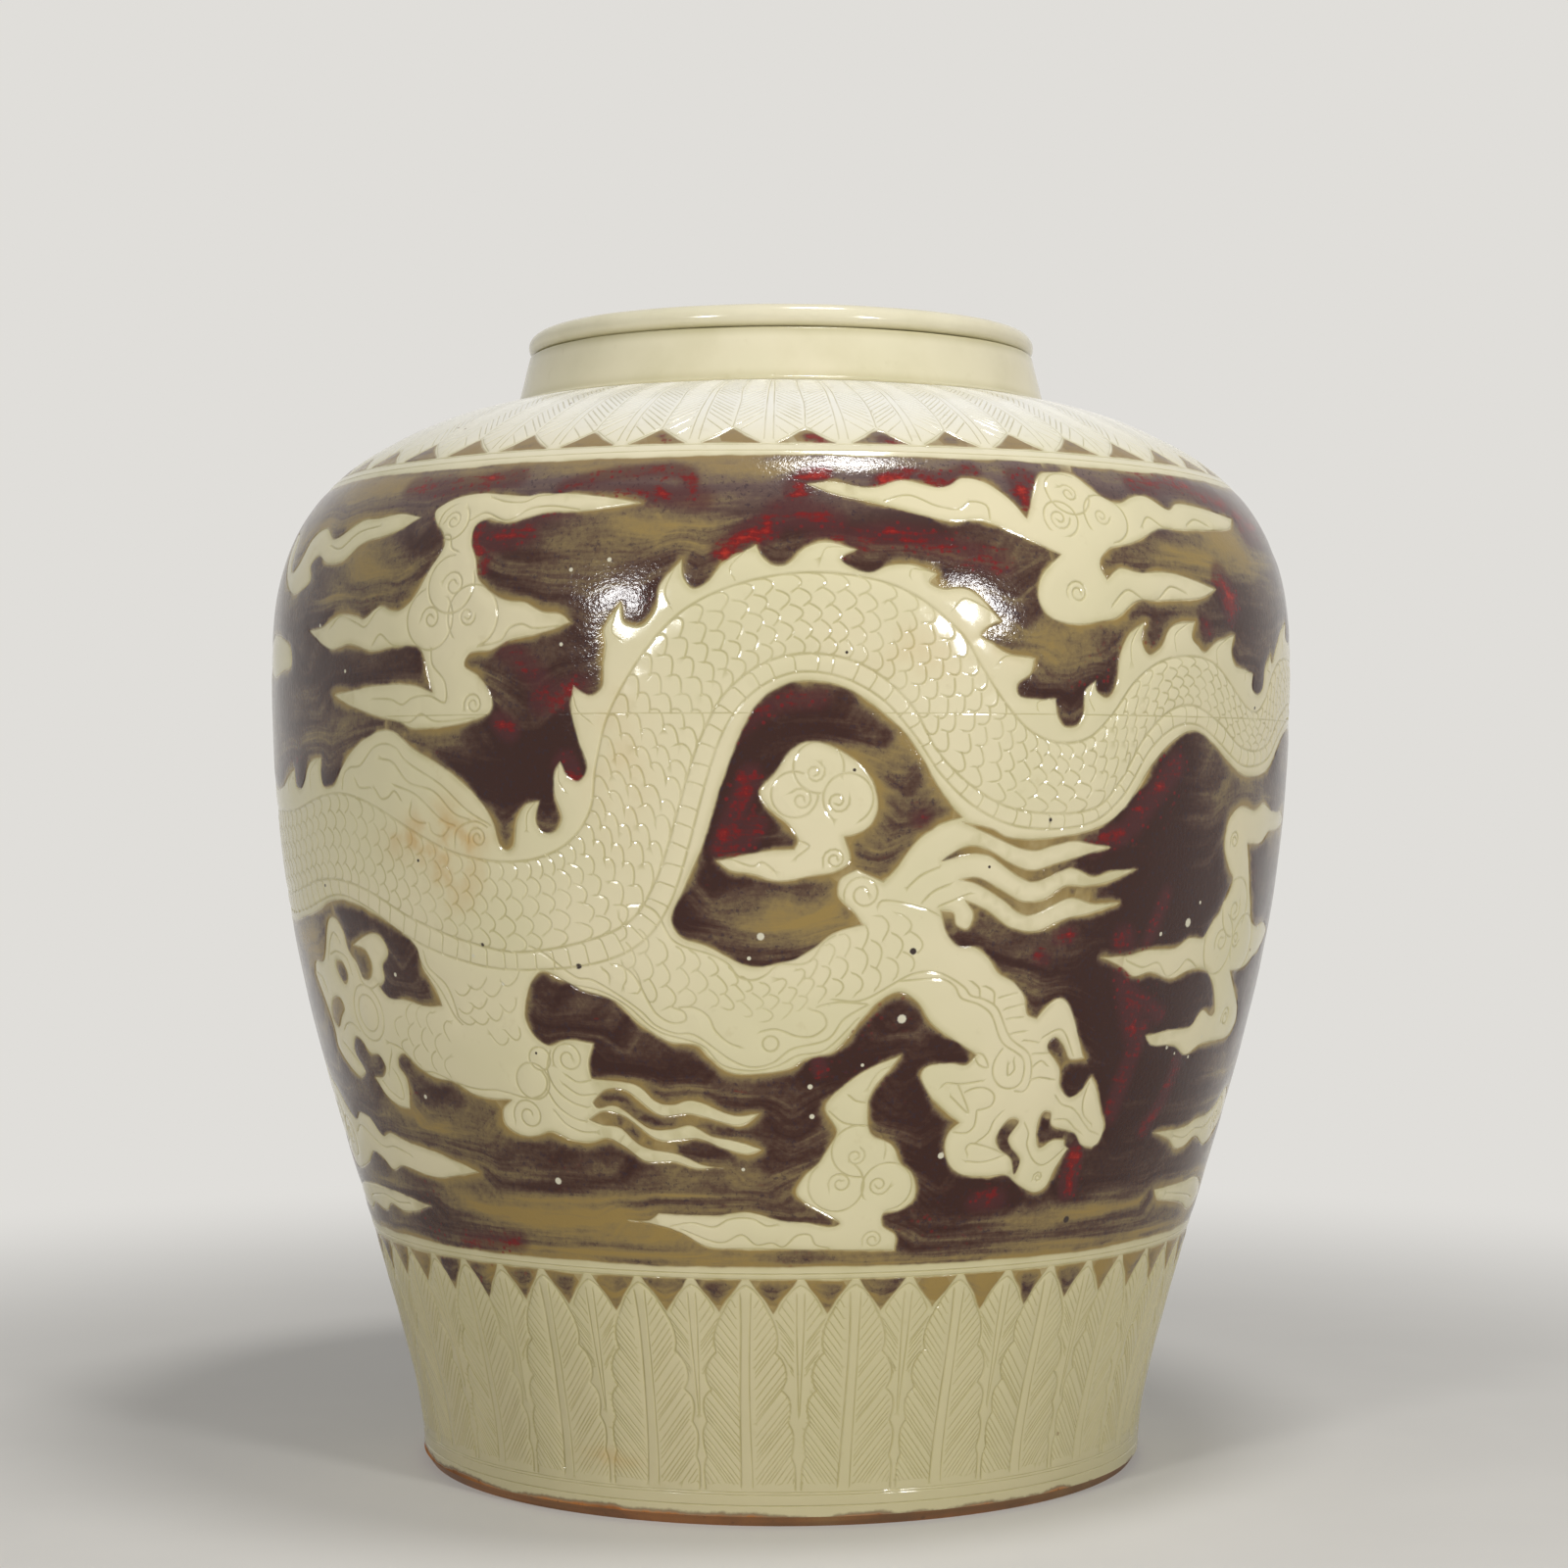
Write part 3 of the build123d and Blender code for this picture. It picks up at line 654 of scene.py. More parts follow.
# %% [markdown]
# ## Rows of scales and belly plates
# Scales are cut one by one, in staggered rows that bend with the body, each bulging towards the tail.
# A place on the body is given by how far along it is and how far across from one line to the other,
# so one loop cuts them all. The belly's plates are short cuts across its band.

# %% Scales, plates and fins
rng = np.random.default_rng(7)
CUTS = []  # each cut: its line, half its width in mm, its depth in mm


def cut(line, half_width=0.62, depth=0.45):
    """Notes a line to be carved."""
    CUTS.append((np.asarray(line, float), half_width, depth))


class Band:
    """The strip between two lines, with places by length along it and share across it."""

    def __init__(self, first, second, even=18.0):
        step = 2.0
        self.first = smooth(first, step)
        other = smooth(second, step)
        nearest = [int(np.argmin(((other - place) ** 2).sum(1))) for place in self.first]
        nearest = np.maximum.accumulate(nearest).astype(float)
        reach = int(even / step)
        nearest = np.convolve(np.pad(nearest, reach, mode="edge"), np.ones(2 * reach + 1), "valid")
        nearest /= 2 * reach + 1
        self.second = places_at(other, nearest, np.arange(len(other)))
        self.along = lengths((self.first + self.second) / 2)
        self.length = float(self.along[-1])

    def place(self, length, share):
        order = np.arange(len(self.along))
        at = np.interp(length, self.along, order)
        share = np.asarray(share)[:, None]
        return places_at(self.first, at, order) * (1 - share) + places_at(self.second, at, order) * share


SCALE_BULGE = 3.2  # how far a scale's bow bulges along the body, mm


def cut_scales(band, rows, pitch=7.4, start=0.0):
    """Staggered rows of scales, each an open bow that bulges along the band and laps its neighbours.
    Where the body climbs, the bows lean back."""
    across = np.linspace(0, 1, 8)
    for k in range(int((band.length - start) / pitch)):
        ends = band.place(start + np.array([k, k + 1]) * pitch, [0.5, 0.5])
        climb = max(0.0, (ends[1, 1] - ends[0, 1]) / pitch)
        for row in range(rows):
            at = start + (k + 0.5 * (row % 2) + 0.07 * rng.standard_normal()) * pitch
            share = (row - 0.06 + (1.12 + 0.04 * rng.standard_normal()) * across) / rows
            bow = SCALE_BULGE * (1 - (2 * across - 1) ** 2) + (2 - 7 * climb) * (across - 0.5)
            cut(band.place(at + bow, np.clip(share, 0.01, 0.99)), 0.7, 0.42)


def cut_plates(band, pitch=7.6):
    """Short cuts across the belly's band, each with a hooked end like a plate's round corner."""
    share = np.array([1.0, 0.75, 0.45, 0.2, 0.06, 0.02])
    lag = np.array([0, 0.25, 0.3, 0.2, -0.6, -2.2])
    for k in range(int(band.length / pitch)):
        at = (k + 0.5 + 0.06 * rng.standard_normal()) * pitch
        cut(band.place(at + lag, share), 0.6, 0.38)


def cut_fins(edge):
    """One cut inside each fin, from its root towards its tip."""
    for i in range(2, len(edge) - 2):
        if len(edge[i]) > 2:
            tip, before, after = [np.array(edge[k][:2], float) for k in (i, i - 2, i + 2)]
            root = 0.55 * before + 0.45 * after
            side = np.array(edge[i - 1][:2], float)
            cut(smooth([tip * 0.7 + side * 0.3, side * 0.55 + root * 0.45, root + (root - tip) * 0.15]),
                0.55, 0.34)


body = Band(BACK_LINE, BELLY_LINE)
cut_scales(body, 5)
belly = Band(BELLY_LINE, PLATE_LINE, even=4.0)
cut_plates(belly)
cut_fins(BACK_EDGE + TAIL[:47])
hip = Band([(-62, 293), (-45, 284), (-25, 277), (-8, 268), (8, 274), (20, 285), (36, 294), (52, 294),
            (62, 290)],
           [(-62, 266), (-48, 258), (-25, 258), (-5, 252), (8, 257), (20, 262), (38, 265), (50, 272),
            (66, 272)])
cut_scales(hip, 3)
upper_arm = Band([(-106, 272), (-109, 262), (-110, 250), (-108, 236), (-112, 226)],
                 [(-143, 274), (-140, 262), (-141, 250), (-150, 238), (-150, 222)], even=6)
cut_scales(upper_arm, 4, pitch=8.5, start=2)
forearm = Band([(-144, 248), (-160, 253.5), (-175, 255.5), (-190, 254)],
               [(-150, 224), (-162, 227), (-175, 229), (-190, 238)], even=4)
cut_scales(forearm, 3, pitch=8.5, start=2)
FOLD_CUT = (0.8, 0.5)  # half width and depth, mm
for fold in FOLDS:
    cut(smooth(fold), *FOLD_CUT)
for line in (BACK_LINE, BELLY_LINE, PLATE_LINE):
    cut(smooth(line), 0.9, 0.55)
for x, y, radius in PADS:
    cut(curl(x, y, radius, 90, 1.0, 1.0), *FOLD_CUT)
for x, y, radius in CURLS + far_curls + FACE_CURLS:
    cut(curl(x, y, radius, 200, -1.5), *FOLD_CUT)
for x, y, radius, inner_x, inner_y, inner_radius in LOBES + far_lobes:
    toward = math.degrees(math.atan2(inner_y - y, inner_x - x)) if (inner_x, inner_y) != (x, y) else 0
    cut(curl(x, y, radius, toward + 40, -0.82, 0.96), *FOLD_CUT)
    cut(curl(inner_x, inner_y, inner_radius, toward + 180, -1.35), *FOLD_CUT)
for wave in WAVES + far_waves:
    cut(smooth(wave), *FOLD_CUT)
print("cuts for the dragon and the clouds:", len(CUTS))

# %% [markdown]
# ## The leaf bands
# A band of tall leaves stands round the foot and one of hanging leaves runs under the collar. Every
# leaf has a double midrib, notched edges and a herringbone of fine cuts. One loop draws each band, and
# each leaf differs a little, as it does when cut by hand. Small painted triangles fill the gaps.

# %% Leaves round the foot
PAINTED = []  # small painted shapes inside the plain bands
FOOT_LEAVES = 26
FOOT_PITCH = 2 * HALF_ROUND / FOOT_LEAVES
FOOT_START = 9.5  # how far the first leaf stands from the seam at the back, mm
FOOT_BAND_TOP = 134.2
FOOT_DIP = 117  # how far down the painted triangles reach
# Half a leaf's edge, from its tip down: distance from the middle, height
LEAF_TIP = [(0, 131.5), (4, 128.5), (8, 123), (10.5, 118)]
LEAF_EDGE = LEAF_TIP + [
    (13.5, 112), (15.3, 106), (15.6, 100), (14.6, 96, 1), (18, 92), (20.2, 86), (20, 80), (18, 75.5, 1),
    (21.6, 71), (22.6, 65), (21.3, 57.5, 1), (23.6, 52), (23.8, 45), (22.6, 38, 1), (24.2, 33), (24.4, 20),
]
leaf_edge = smooth(LEAF_EDGE, 1.0)


def leaf_width(y):
    """Half the width of a leaf at a height."""
    return np.interp(-y, -leaf_edge[:, 1], leaf_edge[:, 0])


def bent(points, shift, sway):
    """Points of a leaf moved to its place, with a slow sway of its own."""
    line = np.array([p[:2] for p in points], float)
    line[:, 0] += shift + sway * np.sin((line[:, 1] - 20) / 36)
    return line


def cut_hatch(middle, side, top, bottom, near, width_at, slope=1.32, pitch=3.4, way=-1):
    """Herringbone cuts on one side of a midrib, from the leaf's edge in towards the rib."""
    y = top
    while y > bottom:
        far = float(width_at(y))
        if far - near > 1.5:
            reach = min(far - near - 0.3, (y - bottom) / slope) if way < 0 else far - near - 0.3
            start = (middle + side * (far - 0.6), y)
            end = (middle + side * (far - reach), y + way * slope * reach)
            cut(smooth([start, end], 4.0), 0.6, 0.42)
        y -= pitch * (1 + 0.08 * rng.standard_normal())


def hidden_width(y):
    """Half the width of what shows, at a height, of a leaf behind two others."""
    return np.minimum(leaf_width(y), FOOT_PITCH / 2 - leaf_width(y) - 0.8)


for k in range(FOOT_LEAVES):
    front = -HALF_ROUND + (k + 0.5) * FOOT_PITCH + FOOT_START
    behind = front + FOOT_PITCH / 2
    sway = rng.uniform(-1.2, 1.2)
    for side, rib_cut in ((-1, (0.85, 0.65)), (1, (0.65, 0.5))):
        cut(bent(smooth([(side * p[0], *p[1:]) for p in LEAF_EDGE], 1.6), front, sway), 0.95, 0.65)
        rib = [(side * 2.6, 127), (side * 2.2, 110), (side * 2.6 - 1, 60), (side * 3.2 - 1.6, 22)]
        cut(bent(smooth(rib, 3.0), front, sway), *rib_cut)
        cut_hatch(front - 0.5, side, 124, 24, 4.2, leaf_width)
    for side in (-1, 1):
        cut(bent(smooth([(side * x, y) for x, y in LEAF_TIP], 1.6), behind, 0), 0.8, 0.5)
        rib = [(side * 1.9, 127), (side * 1.7, 108), (side * 0.9, 82), (side * 0.3, 62)]
        cut(smooth(moved(rib, behind), 3.0), 0.65, 0.5)
        cut_hatch(behind, side, 124, 84, 3.0, hidden_width)
    for middle in (front, behind):
        low_tip = (FOOT_PITCH / 4, FOOT_DIP + rng.uniform(-1.5, 1.5))
        half = [(2.0, FOOT_BAND_TOP, 1), (4.6, 129.6), (8.6, 124.2), (low_tip[0] - 1.2, low_tip[1] + 2)]
        other_half = [(FOOT_PITCH / 2 - x, *rest) for x, *rest in reversed(half)]
        PAINTED.append(moved([*half, (*low_tip, 1), *other_half], middle))

# %% Leaves under the collar
COLLAR_LEAVES = 42
COLLAR_PITCH = 2 * HALF_ROUND / COLLAR_LEAVES
COLLAR_START = 11.0  # how far the first leaf hangs from the seam at the back, mm
COLLAR_DIP = 491.5  # how far up the painted triangles reach


def collar_width(y):
    """Half the width of a hanging leaf at a height."""
    return np.interp(y, [481, 493, 592], [4, COLLAR_PITCH / 2 - 1, COLLAR_PITCH / 2 - 0.6])


for k in range(COLLAR_LEAVES):
    rib = -HALF_ROUND + (k + 0.5) * COLLAR_PITCH + COLLAR_START
    gap = rib + COLLAR_PITCH / 2
    for side in (-1, 1):
        cut(smooth(moved([(side * 2.0, 483), (side * 1.8, 520), (side * 1.3, 592)], rib), 4.0), 0.55, 0.3)
        cut_hatch(rib, side, 585, 486, 3.0, collar_width, slope=1.2, pitch=4.6, way=1)
        tip = [(side * 3.2, 481), (side * 9, 486.2), (side * COLLAR_PITCH / 2, 493.4)]
        cut(smooth(moved(tip, rib), 2.0), 0.5, 0.3)
    cut(smooth(moved([(0, 494), (0.8, 520), (-0.6, 550), (0, 592)], gap), 4.0), 0.55, 0.3)
    half = [(-12.4, 480.2, 1), (-7, 484.4), (-2.4, 489.4)]
    high_tip = (0, COLLAR_DIP + rng.uniform(-1.2, 1.2), 1)
    PAINTED.append(moved([*half, high_tip, *((-x, *rest) for x, *rest in reversed(half))], gap))

# %% Rings round the jar: height on the sheet, half width, depth
RING_CUTS = [
    (11.5, 0.6, 0.5), (17.4, 0.45, 0.25), (18.9, 0.45, 0.25), (134.6, 0.6, 0.45),
    (JOINT_LINES[0], 0.6, 0.45), (JOINT_LINES[2], 0.5, 0.1), (JOINT_LINES[3], 0.5, 0.3), (479.2, 0.6, 0.4),
]
print("cuts in all:", len(CUTS), "painted triangles:", len(PAINTED))

# %% [markdown]
# ## From the drawing to a mesh
# A cut in clay has a bottom and two lips, so each one gives the mesh three lines of corners. All lines
# are laid on the sheet, a loose grid fills the rest, and a constrained triangulation joins them. The
# triangles then know which outline they lie in, so paint and plain glaze meet along the true line.

# %% The plan of the wall: lines, outlines and a loose grid
BAND_LOW = 140.6
BAND_HIGH = 471.5
CLEAR = HALF_ROUND - 1.2
GRID = 3.2
SEAM_STEP = 3.0

plan_points = []
plan_edges = []
plan_faces = []
plan_kinds = []
line_places = []
line_along = []
line_shape = []


def lay(line, closed=False):
    """Adds a line to the plan and gives back the numbers of its points."""
    first = len(plan_points)
    plan_points.extend(map(tuple, line.tolist()))
    numbers = list(range(first, len(plan_points)))
    plan_edges.extend(zip(numbers[:-1], numbers[1:]))
    if closed:
        plan_edges.append((numbers[-1], numbers[0]))
    return numbers


def dense(line, step=1.0):
    """The same line with places step mm apart, and how far along it they are."""
    length = lengths(line)
    at = np.linspace(0, length[-1], max(2, int(length[-1] / step) + 1))
    return places_at(line, at, length), at


def clear_parts(line):
    """The parts of a line on the sheet that keep clear of the seam at the back."""
    parts = []
    for shift in (-2 * HALF_ROUND, 0.0, 2 * HALF_ROUND):
        there = line + np.array([shift, 0.0])
        good = np.abs(there[:, 0]) < CLEAR
        if good.any():
            for part in np.split(there, np.flatnonzero(np.diff(good.astype(int))) + 1):
                if abs(part[0, 0]) < CLEAR and len(part) > 1:
                    parts.append(part)
    return parts


def note_depth(line, half_width, depth, fade):
    """Notes how deep a cut is along its length. It runs out over fade mm at both ends."""
    places, at = dense(line)
    ends = np.minimum(at, at[-1] - at) / fade if fade else np.ones(len(at))
    line_places.append(places)
    line_along.append(np.gradient(places, axis=0))
    line_shape.append(np.stack([np.full(len(at), half_width), depth * np.clip(ends + 0.25, 0, 1)], axis=1))


def lay_lips(line, way, half_width, closed=False):
    """Lays the two lips of a cut on the plan, for its bottom and the way that it runs at each place."""
    way = unit(way)
    side = np.stack([-way[:, 1], way[:, 0]], axis=1) * half_width
    lay(line + side, closed)
    lay(line - side, closed)


def carve(line, half_width, depth):
    """Lays a cut's bottom and its two lips on the plan."""
    for part in clear_parts(line):
        lay(part)
        lay_lips(part, np.gradient(part, axis=0), half_width)
        note_depth(part, half_width, depth, 1.6)


def counter_clockwise(line):
    """The outline in the order that the triangulation wants."""
    x, y = line.T
    return line if np.dot(x, np.roll(y, -1)) - np.dot(y, np.roll(x, -1)) > 0 else line[::-1]


def lay_outline(points, kind, half_width=0.65, depth=0.5):
    """Lays a closed outline, with a cut along it."""
    line = counter_clockwise(smooth(points, 1.5, closed=True))
    line[:, 0] -= 2 * HALF_ROUND * np.round(line[:, 0].mean() / (2 * HALF_ROUND))
    if np.abs(line[:, 0]).max() > CLEAR:
        return
    plan_faces.append(lay(line, closed=True))
    plan_kinds.append(kind)
    lay_lips(line, np.roll(line, -1, axis=0) - np.roll(line, 1, axis=0), half_width, closed=True)
    note_depth(np.vstack([line, line[:1]]), half_width, depth, 0)


def round_trip(y, wave=0.0):
    """A level line once round the sheet, with a slow wave."""
    x = np.linspace(-HALF_ROUND, HALF_ROUND, int(2 * HALF_ROUND / SEAM_STEP) + 1)
    turn = x / SHEET_RADIUS
    sway = np.sin(5 * turn + 1) + 0.7 * np.sin(13 * turn + 2) + 0.5 * np.sin(31 * turn)
    return np.stack([x, y + wave * sway], axis=1)


ISLAND = 4  # the number of the cloud that lies in the window under the arch
for number, points in enumerate(CLOUDS):
    lay_outline(points, "island" if number == ISLAND else "plain")
for points in [DRAGON] + far_outlines + far_legs:
    lay_outline(points, "plain")
for points in WINDOWS:
    lay_outline(points, "painted")
for points in PAINTED:
    lay_outline(points, "painted", 0.5, 0.3)
for line, half_width, depth in CUTS:
    carve(line, half_width, depth)

band_low = round_trip(BAND_LOW, 0.25)
band_high = round_trip(BAND_HIGH, 0.5)
low_numbers = lay(band_low)
high_numbers = lay(band_high)
plan_faces.append(low_numbers + high_numbers[::-1])
plan_kinds.append("ground")
level_heights = set(LEVELS)
for height, half_width, depth in RING_CUTS:
    level_heights |= {height, height - half_width, height + half_width}
    note_depth(round_trip(height), half_width, depth, 0)
for height in sorted(level_heights):
    lay(round_trip(height))
seam_heights = sorted(level_heights | {float(band_low[0, 1]), float(band_high[0, 1])})
between = [y for y in np.arange(LEVELS[0], LEVELS[-1], SEAM_STEP)
           if min(abs(y - height) for height in seam_heights) > 0.9]
seam_heights = np.array(sorted(seam_heights + between))
for x in (-HALF_ROUND, HALF_ROUND):
    lay(np.stack([np.full(len(seam_heights), x), seam_heights], axis=1))

# Spots: middle and radius. Each gets a middle and two rings of points, so that its edge is crisp.
PALE_SPOTS = [
    (-64, 425, 1.2), (-79, 421.5, 1.1), (-82, 394, 1.0), (-115, 265.5, 1.0), (-128, 276.5, 1.1),
    (-7.5, 286, 2.0), (-12, 277.5, 1.1), (12, 225, 1.5), (13, 212, 1.5), (70, 193, 2.0), (48, 253, 2.5),
    (33, 234, 1.0), (-171, 214, 1.4), (-102, 179.5, 2.2), (185, 288, 2.5), (167.6, 284, 1.2),
    (192, 296, 1.0), (262, 283, 1.2), (-16, 188, 1.1), (215, 238, 1.0), (206, 229.5, 1.0), (186, 235, 1.1),
    (193, 232, 0.9), (-193, 386.5, 1.0), (-215, 405, 1.0), (-175, 267, 1.2),
]
DARK_SPOTS = [
    (51, 280, 1.9), (-80, 273.5, 1.6), (105, 329.5, 1.0), (-152, 313.5, 0.9), (-123, 281, 1.1),
    (-222.5, 302, 1.0), (228, 373, 1.0), (27, 348, 0.9), (24, 390.5, 0.8), (-103.5, 237, 0.8),
    (80, 312, 0.8), (170, 284.6, 1.1), (142, 158, 2.4),
]
for x, y, radius in PALE_SPOTS + DARK_SPOTS:
    plan_points.append((x, y))
    for size in (0.6 * radius, 0.85 * radius):
        plan_points += [(x + size * math.cos(k * math.tau / 9), y + size * math.sin(k * math.tau / 9))
                        for k in range(9)]


def tree_of(places):
    """A search tree over places of the sheet."""
    tree = KDTree(len(places))
    for number, (x, y) in enumerate(places):
        tree.insert((x, y, 0), number)
    tree.balance()
    return tree


ELBOW_ROOM = 1.6  # how far the loose grid keeps from the lines and from the seam, mm
feature_tree = tree_of(plan_points)
across = int(2 * HALF_ROUND / GRID)
row_height = GRID * 0.866
for row in range(1, int((LEVELS[-1] - LEVELS[0]) / row_height)):
    row_x = -HALF_ROUND + (np.arange(across) + 0.5 * (row % 2) + 0.25) * 2 * HALF_ROUND / across
    spots = np.stack([row_x, np.full(across, LEVELS[0] + row * row_height)], axis=1)
    for x, y in (spots + rng.uniform(-0.35, 0.35, spots.shape)).tolist():
        if (abs(x) < HALF_ROUND - ELBOW_ROOM and LEVELS[0] + 1 < y < LEVELS[-1] - 1
                and feature_tree.find((x, y, 0))[2] > ELBOW_ROOM):
            plan_points.append((x, y))
print("plan:", len(plan_points), "points,", len(plan_edges), "lines,", len(plan_faces), "outlines")

# %% Triangles of the sheet, and which of them are painted
places, _, triangles, _, _, within = delaunay_2d_cdt(
    [Vector(place) for place in plan_points], plan_edges, plan_faces, 0, 0.03)
sheet = np.array([place[:] for place in places])
triangles = np.array(triangles)
kinds = np.array(plan_kinds)
is_plain, is_painted, is_ground, is_island = [
    np.array([any(kinds[k] == kind for k in owners) for owners in within])
    for kind in ("plain", "painted", "ground", "island")]
painted = ((is_ground & ~is_plain) | is_painted) & ~is_island
first, second, third = [sheet[triangles[:, k]] for k in range(3)]
area = np.cross(second - first, third - first)
triangles[area < 0] = triangles[area < 0][:, ::-1]
print("sheet:", len(sheet), "points,", len(triangles), "triangles,",
      round(100 * float(np.abs(area[painted]).sum() / np.abs(area).sum()), 1), "% painted")

# %% Depth of the cuts, and how far each point is from the paint's edge
CARVE_SHARE = 0.62  # how much of a cut's depth still shows once the glaze has run into it
BROAD = 0.78  # cuts with more than this half width, in mm, also draw the clay round them down
EDGE_REACH = 14.0  # how far from the paint's edge the distance to it is told apart, mm


def nearest_of(places):
    """For each corner of the sheet, the number of the closest of the places and how far it is."""
    tree = tree_of(places)
    found = [tree.find((x, y, 0)) for x, y in sheet]
    return np.array([f[1] for f in found]), np.array([f[2] for f in found])


def sides_of(triangles):
    """The three sides of each triangle, as pairs of corner numbers, the lower one first."""
    pairs = [triangles[:, [0, 1]], triangles[:, [1, 2]], triangles[:, [2, 0]]]
    return np.sort(np.vstack(pairs), axis=1)


cut_places = np.vstack(line_places)
cut_way = unit(np.vstack(line_along))
cut_shape = np.vstack(line_shape)
cut_number, cut_gap = nearest_of(cut_places)
offset = sheet - cut_places[cut_number]
along = np.abs((offset * cut_way[cut_number]).sum(1))
beside = np.abs(offset[:, 0] * cut_way[cut_number, 1] - offset[:, 1] * cut_way[cut_number, 0])
cut_gap = np.where(along < 0.62, beside, cut_gap)
cut_share = np.clip(1 - cut_gap / cut_shape[cut_number, 0], 0, 1)
cut_depth = CARVE_SHARE * cut_share * cut_shape[cut_number, 1]
broad_gap = nearest_of(cut_places[cut_shape[:, 0] > BROAD])[1]

sides = sides_of(triangles)
side_owner = np.tile(np.arange(len(triangles)), 3)
order = np.lexsort((sides[:, 1], sides[:, 0]))
same = (sides[order[1:]] == sides[order[:-1]]).all(1)
one, other = side_owner[order[:-1]][same], side_owner[order[1:]][same]
border = sides[order[:-1]][same][painted[one] != painted[other]]
share = np.linspace(0, 0.8, 5)[:, None, None]
border_places = (sheet[border[:, 0]] * (1 - share) + sheet[border[:, 1]] * share).reshape(-1, 2)
paint_gap = nearest_of(border_places)[1]
paint_gap[np.unique(border)] = 0
on_paint = np.zeros(len(sheet))
np.add.at(on_paint, triangles.ravel(), np.repeat(np.where(painted, 1.0, -1.0), 3))
paint_edge = np.clip(paint_gap, 0, EDGE_REACH) * np.sign(on_paint)
hollow = 0.32 * np.exp(-(broad_gap / 2.2) ** 2) + 0.26 * np.exp(-(paint_gap / 3.0) ** 2)
print("deepest cut:", round(float(cut_depth.max()), 2), "mm, paint borders:", len(border), "sides")

# %% [markdown]
# ## The five rings of the wall
# Each ring is a closed body: the carved skin outside, the sloping joint faces above and below, and the
# thrown wall inside with its finger ridges. The skin comes from the sheet, rolled round the jar's line.
# Nothing reaches past the clay model, since every cut and every dip goes inwards.

# %% Rings built and put in place of the plain ones
INSIDE_STEPS = 144
JOINT_SLOPE = 0.5
DISC_TOP = top_of("base_disc")
FOOT_CLOSE = [(reach_at("foot_ring", 0), 0.0), (reach_at("base_disc", 0), 0.0),
              (reach_at("base_disc", DISC_TOP), DISC_TOP)]  # round the base disc: radius and height
SET_BACK = 0.3  # how far the skin lies inside the clay model's outside, mm
RIDGE_ROWS = 2.4  # height of a row of the inside, mm
FOLD_COUNT = 4
FOLD_GAP = 3.0

twin = np.arange(len(sheet))  # the same corner's number on the other side of the seam
left = np.flatnonzero(np.abs(sheet[:, 0] + HALF_ROUND) < 1e-2)
right = np.flatnonzero(np.abs(sheet[:, 0] - HALF_ROUND) < 1e-2)
left = left[np.argsort(sheet[left, 1])]
right = right[np.argsort(sheet[right, 1])]
twin[right] = left
turn = sheet[:, 0] / SHEET_RADIUS
dips = (0.11 * np.sin(3 * turn + 0.7 + sheet[:, 1] / 90) + 0.09 * np.sin(7 * turn + 2 - sheet[:, 1] / 60)
        + 0.05 * np.sin(16 * turn + sheet[:, 1] / 23) + 0.05 * np.sin(sheet[:, 1] / 5.5 + 2 * np.sin(turn)))
dips += hollow * np.clip((sheet[:, 1] - LEVELS[0]) / 8, 0, 1)
skin = on_wall(sheet[:, 0], sheet[:, 1], cut_depth + SET_BACK + dips)
middle_y = sheet[triangles].mean(1)[:, 1]


def face_normals(corners):
    """Area-weighted normals of the sheet's triangles, for corners in space."""
    a, b, c = [corners[triangles[:, k]] for k in range(3)]
    return np.cross(b - a, c - a)


# Off the cuts the wall shades as if it were uncut, so that the curved skin looks thrown, not faceted.
uncut_faces = face_normals(on_wall(sheet[:, 0], sheet[:, 1], SET_BACK + dips))
smooth_wall = np.zeros_like(skin)
for k in range(3):
    np.add.at(smooth_wall, twin[triangles[:, k]], uncut_faces)
smooth_wall = unit(smooth_wall)[twin]
in_cut = cut_share[triangles].max(1) > 0.02
cut_faces = unit(face_normals(skin))
corner_normals = smooth_wall[triangles]
corner_normals[in_cut] = unit(corner_normals[in_cut] * 0.25 + cut_faces[in_cut][:, None, :])
print("in the cuts:", int(in_cut.sum()), "triangles")


def inner_radius(height):
    """The radius of the wall's inside at a height."""
    return float(np.interp(height, inner_line[:, 1], inner_line[:, 0]))


def inner_corner(height):
    """Where a joint at an outside height comes out inside."""
    outside = float(np.interp(height, outer_line[:, 1], outer_line[:, 0]))
    inside = height
    for _ in range(8):
        inside = height - (outside - inner_radius(inside)) * JOINT_SLOPE
    return inner_radius(inside), inside


def inside_rows(low, high):
    """Rows up the inside between two corners, with the soft ridges that fingers leave."""
    rows = [low]
    count = max(2, int((high[1] - low[1]) / RIDGE_ROWS))
    for height in np.linspace(low[1], high[1], count + 1)[1:-1]:
        ends = min(1.0, (height - low[1]) / 6, (high[1] - height) / 6)
        ridge = 0.45 * math.sin(height / 2.6) + 0.3 * math.sin(height / 1.7 + 1)
        rows.append((inner_radius(height) + ends * ridge, float(height)))
    return rows + [high]


def zip_up(lower, upper):
    """Triangles between two rings of corners, each corner given as number, turn and length."""
    faces = []
    i = j = 0
    while i < len(lower) - 1 or j < len(upper) - 1:
        if j == len(upper) - 1 or (i < len(lower) - 1 and lower[i + 1][1] <= upper[j + 1][1]):
            faces.append((lower[i], upper[j], lower[i + 1]))
            i += 1
        else:
            faces.append((lower[i], upper[j], upper[j + 1]))
            j += 1
    return faces


